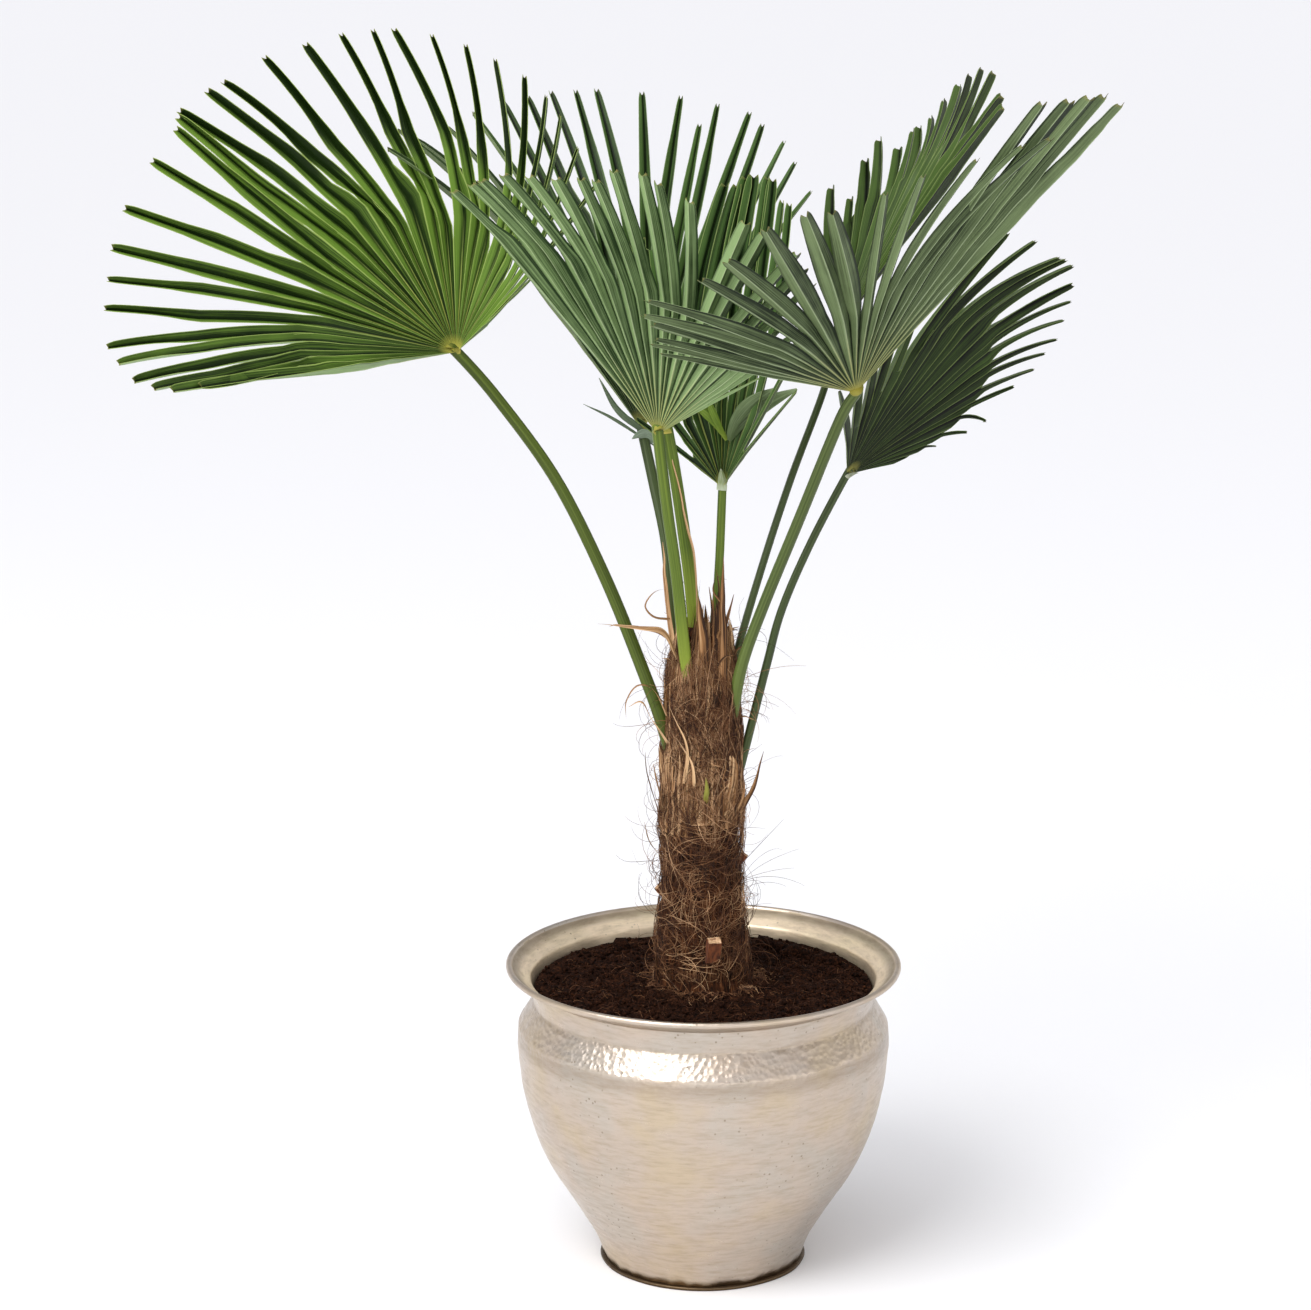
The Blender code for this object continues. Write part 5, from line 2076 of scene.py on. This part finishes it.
    def build_crest(self) -> bpy.types.Object:
        """Return the scale that stands at the hub on the blade's upper side.

        Returns:
            The piece.
        """
        length, half, colour = self.crest
        middle, _, normal = self.axes
        out = normal * self.front.value
        route = [Vector(self.hub) + middle * (length * t - 0.003) + out * (0.0035 + 0.35 * length * t * t)
                 for t in (0.0, 0.25, 0.5, 0.75, 1.0)]
        bundle = Bundle()
        bundle.sweep(route, STRIP, [half * s for s in (1.3, 1.25, 1.0, 0.65, 0.12)], out)
        skin = StemSkin(self.name + "_crest", colour, colour, self.rind.body, colour)
        return dress(bundle.piece(self.name + "_crest"), [skin.material()], crease=60)

    def build(self, materials: dict[str, bpy.types.Material]) -> None:
        """Build the leaf with the materials it shares with its neighbours.

        Args:
            materials: The materials by name.
        """
        self.build_blade([materials[skin.name] for skin in self.looks])
        self.build_stem(materials[self.rind.name])
        self.build_crest()


# Painted shade darkens its leaflets from number 12 on, towards their ends
BRIGHT = LeafSkin("palm_leaf_bright", "63822f", "142406", "a0b462", "aaa54a", "7d7a42", 0.40, 0.05,
                  Side.UPPER, closed=12.0)
YOUNG = LeafSkin("palm_leaf_young", "4c6a32", "0d1b06", "93a662", "a5a448", "7d7a42", 0.40, 0.06,
                 Side.UPPER)
DEEP = LeafSkin("palm_leaf_deep", "4a6630", "0b1704", "8a9c70", "97924a", "5e5a38", 0.42, 0.04, Side.UPPER)
SHADED = LeafSkin("palm_leaf_shaded", "3c531c", "040900", "6c7c44", "97924a", "5e5a38", 0.42, 0.02,
                  Side.UPPER)
PALE_UNDER = LeafSkin("palm_leaf_underside", "8aa46c", "1e3210", "b4c696", "b3a850", "a09050", 0.50, 0.05,
                      Side.UNDER, 0.045)
DULL_UNDER = LeafSkin("palm_leaf_underside_grey", "6f8150", "131e0a", "a9b98f", "ada34e", "8f8348", 0.52,
                      0.04, Side.UNDER, 0.045)
# Painted shade: a darker copy of the underside for the leaves that lie in shade on the right, further back
SHADED_UNDER = LeafSkin("palm_leaf_underside_shaded", "46592b", "060c03", "9aab78", "a39a4c", "8f8348", 0.50,
                      0.03, Side.UNDER, 0.045)
# Painted shade darkens its leaflets from number 10 on, over their whole length
DIM_UNDER = LeafSkin("palm_leaf_underside_dim", "74865a", "16220c", "a9b98f", "ada34e", "8f8348", 0.52,
                     0.04, Side.UNDER, 0.045, closed=10.0, closed_from=-1.0, closed_by=0.34)
OLIVE = StemSkin("leaf_stem_olive", "545f2a", "566427", "2f3a12", "8a8434")
GREEN = StemSkin("leaf_stem_green", "8f9c34", "66782c", "384a18", "98903e")
MOSS = StemSkin("leaf_stem_moss", "5c6a30", "5c6a38", "323f1e", "98903e")
GREY = StemSkin("leaf_stem_grey", "4c5730", "485532", "2a341a", "76743a")
LENS = Lens()


def make_fronds() -> list[Frond]:
    """Return the eight leaves of the plant.

    Returns:
        The leaves.
    """
    return [
        Frond("frond_left", hub=(-0.243, 0.010, 0.934), heading=198, rise=20, turn=-22, spread=(38, 126),
              reach=(0.440, 0.358, 0.175), cup=(32, 84), droop=0.0, leaflets=(8, 22),
              split=(0.42, 0.37, 0.32), front=Side.UPPER,
              stem=((-0.020, -0.008, 0.485), (-0.038, -0.010, 0.553), (-0.057, -0.008, 0.608),
                    (-0.097, -0.003, 0.709), (-0.146, 0.004, 0.808), (-0.204, 0.009, 0.889)),
              stem_radii=(0.0068, 0.0050), slot="leaf_green", looks=(BRIGHT, PALE_UNDER), rind=OLIVE,
              tips=((200, 387), (172, 391), (153, 389), (133, 382), (117, 364), (106, 348), (103, 309),
                    (106, 280), (110, 248), (123, 208), (151, 160), (175, 128), (177, 116), (178, 110),
                    (206, 90), (222, 81), (264, 56), (305, 43), (341, 33), (373, 29), (394, 28), (432, 34),
                    (466, 44), (490, 57), (525, 75), (547, 95), (559, 113), (579, 147), (600, 180),
                    (531, 279)),
              openings=((25, 0.38), (26, 0.34), (27, 0.32), (28, 0.30), (29, 0.30)),
              fold=(34, 54, 62), widest=(0.46, 0.46, 0.30), blunt=(0.62, 0.66, 0.66),
              kink=(0.64, 0.42, 0.007), rolls=(30, 12, -10)),
        Frond("frond_front", hub=(-0.046, -0.080, 0.868), heading=-78, rise=52, turn=14, spread=(45, 46),
              reach=(0.333, 0.327, 0.118), cup=(4, -28), droop=0.02, leaflets=(11, 10),
              split=(0.78, 0.48, 0.40), front=Side.UNDER,
              stem=((-0.010, -0.020, 0.571), (-0.019, -0.026, 0.636), (-0.028, -0.040, 0.722),
                    (-0.037, -0.056, 0.790)),
              stem_radii=(0.0060, 0.0052), slot="leaf_grey_green", looks=(YOUNG, PALE_UNDER), rind=GREEN,
              tips=((452, 191), (470, 184), (480, 180), (502, 174), (528, 176), (555, 178), (580, 178),
                    (595, 180), (613, 170), (642, 173), (657, 182), (689, 200), (746, 222), (764, 234),
                    (798, 253), (780, 330), (760, 378)),
              fold=(30, 30, 30), widest=(0.60, 0.60, 0.60), blunt=(0.62, 0.62, 0.62)),
        Frond("frond_rear", hub=(-0.062, 0.100, 0.842), heading=92, rise=60, turn=-5, spread=(43, 37),
              reach=(0.355, 0.390, 0.301), cup=(29, 20), droop=0.02, leaflets=(10, 9),
              split=(0.50, 0.48, 0.52), front=Side.UPPER,
              stem=((-0.016, 0.016, 0.603), (-0.031, 0.022, 0.674), (-0.038, 0.040, 0.739),
                    (-0.051, 0.066, 0.797)),
              stem_radii=(0.0056, 0.0046), slot="leaf_dark_green", looks=(DEEP, DULL_UNDER), rind=GREY,
              tips=((383, 173), (397, 155), (416, 139), (448, 127), (472, 112), (503, 102), (527, 96),
                    (550, 91), (575, 90), (596, 89), (642, 92), (681, 96), (718, 104), (750, 112),
                    (763, 124), (785, 141), (796, 162), (812, 191)),
              fold=(44, 46, 48)),
        Frond("frond_young", hub=(0.018, 0.040, 0.794), heading=54, rise=83, turn=16, spread=(52, 42),
              reach=(0.100, 0.308, 0.160), cup=(34, 44), droop=0.0, leaflets=(6, 6),
              split=(0.30, 0.22, 0.30), front=Side.UPPER,
              stem=((0.002, 0.012, 0.583), (0.008, 0.012, 0.645), (0.011, 0.014, 0.666),
                    (0.015, 0.024, 0.722)),
              stem_radii=(0.0046, 0.0038), slot="leaf_green", looks=(YOUNG, DULL_UNDER), rind=GREEN,
              tips=((726, 183), (738, 184), (747, 176), (754, 174), (768, 176), (773, 178), (783, 200),
                    (790, 203), (797, 391)),
              places=(2, 3, 4, 5, 6, 7, 8, 9, 11),
              fold=(40, 40, 40), widest=(0.34, 0.34, 0.34), blunt=(0.72, 0.72, 0.72), late=0.1, stray=4.0,
              hang=0.06, crest=(0.022, 0.0042, "aeb59c")),
        Frond("frond_right_front", hub=(0.139, -0.150, 0.919), heading=-89, rise=44, turn=-22,
              spread=(75, 38),
              reach=(0.195, 0.323, 0.415), cup=(-24, -2), droop=0.03, leaflets=(11, 10),
              split=(0.34, 0.36, 0.80), front=Side.UNDER,
              stem=((0.026, -0.012, 0.569), (0.037, -0.022, 0.628), (0.057, -0.040, 0.691),
                    (0.090, -0.080, 0.786), (0.125, -0.136, 0.891)),
              stem_radii=(0.0060, 0.0054), slot="leaf_grey_green", looks=(DEEP, DIM_UNDER), rind=MOSS,
              tips=((660, 354), (652, 325), (642, 316), (646, 301), (700, 280), (726, 261), (765, 229),
                    (805, 214), (832, 212), (886, 193), (924, 175), (978, 159), (1024, 145), (1052, 138),
                    (1044, 102), (1071, 100), (1091, 97), (1106, 95), (1122, 104)),
              fold=(38, 34, 26), widest=(0.56, 0.56, 0.62), blunt=(0.34, 0.44, 0.95)),
        Frond("frond_right_rear", hub=(0.137, 0.100, 0.945), heading=43, rise=55, turn=78, spread=(43, 50),
              reach=(0.270, 0.305, 0.320), cup=(13, 0), droop=0.03, leaflets=(7, 8),
              split=(0.56, 0.58, 0.66), front=Side.UPPER,
              stem=((0.018, 0.010, 0.563), (0.030, 0.016, 0.623), (0.056, 0.038, 0.710),
                    (0.086, 0.066, 0.797), (0.119, 0.094, 0.881)),
              stem_radii=(0.0052, 0.0044), slot="leaf_dark_green", looks=(SHADED, SHADED_UNDER), rind=GREY,
              tips=((832, 187), (851, 198), (866, 160), (880, 139), (899, 148), (914, 130), (920, 127),
                    (932, 117), (945, 100), (960, 85), (970, 75), (982, 68), (994, 72), (1003, 107)),
              places=(0, 1, 2, 3, 4, 5, 6, 7, 8, 9, 10, 11, 12, 14),
              fold=(44, 44, 44), widest=(0.6, 0.6, 0.6), blunt=(0.6, 0.66, 0.7), hang=0.02),
        Frond("frond_right_low", hub=(0.143, 0.060, 0.803), heading=12, rise=44, turn=-60, spread=(75, 46),
              reach=(0.197, 0.320, 0.090), cup=(9, 0), droop=0.04, leaflets=(11, 10),
              split=(0.22, 0.60, 0.70), front=Side.UPPER,
              stem=((0.018, 0.004, 0.450), (0.035, 0.006, 0.507), (0.062, 0.011, 0.616),
                    (0.078, 0.018, 0.675), (0.107, 0.036, 0.739)),
              stem_radii=(0.0050, 0.0042), slot="leaf_dark_green", looks=(SHADED, SHADED_UNDER), rind=GREY,
              tips=((839, 391), (880, 330), (930, 280), (1008, 232), (1036, 240), (1060, 257), (1066, 259),
                    (1073, 265), (1073, 284), (1071, 301), (1064, 320), (1057, 339), (1045, 353),
                    (1034, 369), (1014, 386), (986, 421), (967, 432), (936, 446), (909, 455)),
              openings=((3, 0.24), (4, 0.24), (5, 0.26)),
              fold=(46, 48, 50), blunt=(0.34, 0.38, 0.50), crest=(0.012, 0.0036, "a8ab94")),
        Frond("frond_spear", hub=(-0.037, -0.030, 0.863), heading=150, rise=80, turn=0, spread=(9, 9),
              reach=(0.190, 0.205, 0.190), cup=(10, 10), droop=0.0, leaflets=(3, 3),
              split=(0.88, 0.86, 0.88), front=Side.UPPER,
              stem=((-0.004, -0.004, 0.587), (-0.012, -0.006, 0.689), (-0.021, -0.012, 0.761),
                    (-0.030, -0.020, 0.822)),
              stem_radii=(0.0062, 0.0050), slot="leaf_green", looks=(YOUNG, PALE_UNDER), rind=GREEN)]


@dataclass(frozen=True)
class Scrap:
    """A loose piece of leaf at a hub, placed by pixels of the photograph.

    Attributes:
        name: Name of the piece.
        slot: Material slot of the record; not used.
        skin: Its skin.
        pixels: Pixel and depth along +Y of each point from its root on.
        half_width: Its half width.
        root: Width of its root, as part of its greatest width.
    """

    name: str
    slot: str
    skin: StemSkin
    pixels: tuple[Point, ...]
    half_width: float
    root: float = 0.4

    def build(self, materials: dict[str, bpy.types.Material]) -> None:
        """Build the piece, folded along its middle and pointed.

        Args:
            materials: The materials by name.
        """
        count = 24
        path = smooth_path([tuple(LENS.point(*pixel)) for pixel in self.pixels], count)
        sizes = []
        for i in range(count):
            t = i / (count - 1)
            sizes.append(self.half_width * (self.root + (1 - self.root) * min(t / 0.5, 1.0))
                         * (1 - 0.88 * max(t - 0.55, 0.0) ** 1.6 / 0.45 ** 1.6))
        bundle = Bundle()
        bundle.sweep(path, STRIP, sizes, Vector((0.0, -1.0, 0.2)), twist=12.0)
        dress(bundle.piece(self.name), [materials[self.skin.name]], crease=50)


def make_scraps() -> list[Scrap]:
    """Return the loose pieces at the hubs of the rear leaf and the young leaf.

    Returns:
        The loose pieces.
    """
    dusty = StemSkin("leaf_scrap_dusty", "5d6c54", "66755c", "3c4a34", "7a8672")
    pale = StemSkin("leaf_scrap_pale", "7d8d76", "94a28f", "6d7c66", "a4b0a0")
    flap = StemSkin("leaf_scrap_grey", "5f7048", "74855e", "4a5a36", "7b8c64")
    fading = StemSkin("leaf_scrap_fading", "8a7a38", "8c8a3a", "5e5a24", "7c6a3c")
    bright = StemSkin("leaf_scrap_bright", "84963a", "7c9436", "47611c", "8ea046")
    return [
        Scrap("rear_scrap_0", "leaf_dark_green", dusty, ((655, 438, 0.096), (636, 426, 0.092),
            (616, 408, 0.090), (599, 378, 0.088)), 0.0034),
        Scrap("rear_scrap_1", "leaf_dark_green", dusty, ((655, 446, 0.096), (634, 432, 0.092),
            (610, 417, 0.090), (583, 404, 0.088)), 0.0017),
        Scrap("rear_scrap_2", "leaf_dark_green", pale, ((655, 441, 0.094), (647, 435, 0.090),
            (640, 435, 0.086), (632, 439, 0.084)), 0.0052, 0.8),
        Scrap("rear_scrap_3", "leaf_dark_green", dusty, ((655, 442, 0.096), (640, 428, 0.094),
            (627, 418, 0.092), (613, 408, 0.090)), 0.0028),
        Scrap("trunk_remnant", "leaf_green", fading, ((708, 808, -0.036), (706, 799, -0.0435),
            (707, 791, -0.045), (706, 778, -0.043)), 0.0026, 0.8),
        Scrap("young_scrap_0", "leaf_green", flap, ((728, 440, 0.036), (742, 421, 0.030), (765, 404, 0.026),
            (797, 389, 0.022)), 0.0085),
        Scrap("young_scrap_1", "leaf_green", flap, ((728, 440, 0.034), (736, 420, 0.026), (752, 402, 0.020),
            (776, 388, 0.016)), 0.0070),
        Scrap("young_scrap_2", "leaf_green", bright, ((727, 440, 0.034), (716, 424, 0.026),
            (704, 412, 0.020), (690, 404, 0.018)), 0.0048),
        Scrap("young_scrap_3", "leaf_green", bright, ((727, 440, 0.034), (719, 426, 0.024),
            (711, 408, 0.018), (704, 388, 0.016)), 0.0036)]


# Studio


@dataclass
class Studio:
    """Pale floor, soft light and the camera of the photograph."""

    floor_radius: float = 60.0
    sky: tuple[tuple[float, str], ...] = (
        (0.0, "ffffff"), (0.55, "ffffff"), (0.68, "c6c6c9"), (0.86, "b8b8bb"), (1.0, "bcbcbf"))
    sky_strength: float = 1.54
    frontal: tuple[float, float] = (1.35, 0.55)
    overhead: Point = (-0.34, -0.30, 0.89)
    overhead_strength: float = 2.7
    key_place: Point = (-1.70, -2.20, 3.15)
    key_aim: Point = (0.0, -0.3, 0.5)
    key_size: tuple[float, float] = (2.3, 1.9)
    key_power: float = 92.0

    def build_floor(self) -> bpy.types.Object:
        """Return the floor.

        Returns:
            The floor.
        """
        deselect_all()
        bpy.ops.mesh.primitive_circle_add(vertices=64, radius=self.floor_radius, fill_type="NGON")
        floor = bpy.context.object
        floor.name = floor.data.name = "studio_floor"
        floor.data.materials.append(StudioPaint().material())
        return floor

    def build_sky(self) -> None:
        """Light the scene from all round: pale low down, greyer above, one soft bright field overhead."""
        world = bpy.data.worlds.new("studio")
        world.use_nodes = True
        add = partial(add_node, world.node_tree)
        ray = add("TexCoord")["Generated"]
        height = add("SeparateXYZ", (ray,))[2]
        place = add("MapRange", (height, -1.0, 1.0))[0]
        colour = add("ValToRGB", (place,), stops=self.sky)[0]
        field_axis = Vector(self.overhead).normalized()
        turned = add("VectorMath", (ray, tuple(field_axis)), operation="DOT_PRODUCT")["Value"]
        field_share = add("MapRange", (turned, 0.80, 0.95, 0.0, self.overhead_strength),
                          interpolation_type="SMOOTHSTEP")[0]
        # The side from which the photograph was taken is the brighter one
        depth = add("SeparateXYZ", (ray,))[1]
        frontal = add("MapRange", (depth, -1.0, 1.0, self.sky_strength * self.frontal[0],
                                   self.sky_strength * self.frontal[1]))[0]
        strength = add("Math", (field_share, frontal), operation="ADD")[0]
        sky = world.node_tree.nodes["Background"]
        feed(sky, {"Color": colour, "Strength": strength})
        bpy.context.scene.world = world

    def build_key(self) -> None:
        """Hang the soft box that lights the plant from the left and the front."""
        data = bpy.data.lights.new("key", "AREA")
        data.shape = "RECTANGLE"
        data.size, data.size_y = self.key_size
        data.energy = self.key_power
        lamp = bpy.data.objects.new("key", data)
        lamp.location = self.key_place
        ahead = Vector(self.key_aim) - Vector(self.key_place)
        lamp.rotation_euler = ahead.to_track_quat("-Z", "Y").to_euler()
        bpy.context.scene.collection.objects.link(lamp)

    def build_camera(self) -> None:
        """Place the camera where the pot's circles say that the photograph's was."""
        data = bpy.data.cameras.new("camera")
        data.sensor_fit = "HORIZONTAL"
        data.lens = data.sensor_width * LENS.focal / LENS.width
        data.clip_end = 200.0
        camera = bpy.data.objects.new("camera", data)
        camera.location = LENS.place
        camera.rotation_euler = (math.pi / 2 - LENS.pitch, 0.0, 0.0)
        bpy.context.scene.collection.objects.link(camera)
        bpy.context.scene.camera = camera

    def build(self) -> None:
        """Build the studio."""
        self.build_floor()
        self.build_sky()
        self.build_key()
        self.build_camera()
        bpy.context.scene.view_settings.view_transform = "Standard"


def main() -> None:
    """Build the pot, the soil, the trunk and the leaves in order, and the studio round them."""
    logging.basicConfig(level=logging.INFO, format="%(message)s")
    # Without a seed, the vector noise differs from run to run
    noise.seed_set(NOISE_SEED)
    pot, trunk = Pot(), Trunk()
    fibre = FibreSkin("palm_fibre_loose", ((0.0, "1c0e06"), (0.35, "472816"), (0.65, "7e5738"),
                                           (1.0, "c9a27a"))).material()
    dried = DriedSkin("palm_leaf_dried", "d0ac82", "835c37", "2b180b").material()
    pot.build()
    soil = Soil(pot)
    soil.build(fibre)
    trunk.build()
    FibreCoat(trunk, soil).build(fibre)
    Crown(trunk).build(dried)
    fronds, scraps = make_fronds(), make_scraps()
    skins = {skin.name: skin for frond in fronds for skin in (*frond.looks, frond.rind)}
    skins.update({scrap.skin.name: scrap.skin for scrap in scraps})
    materials = {name: skin.material() for name, skin in skins.items()}
    for leaf in (*fronds, *scraps):
        leaf.build(materials)
    Studio().build()


if __name__ == "__main__":
    main()
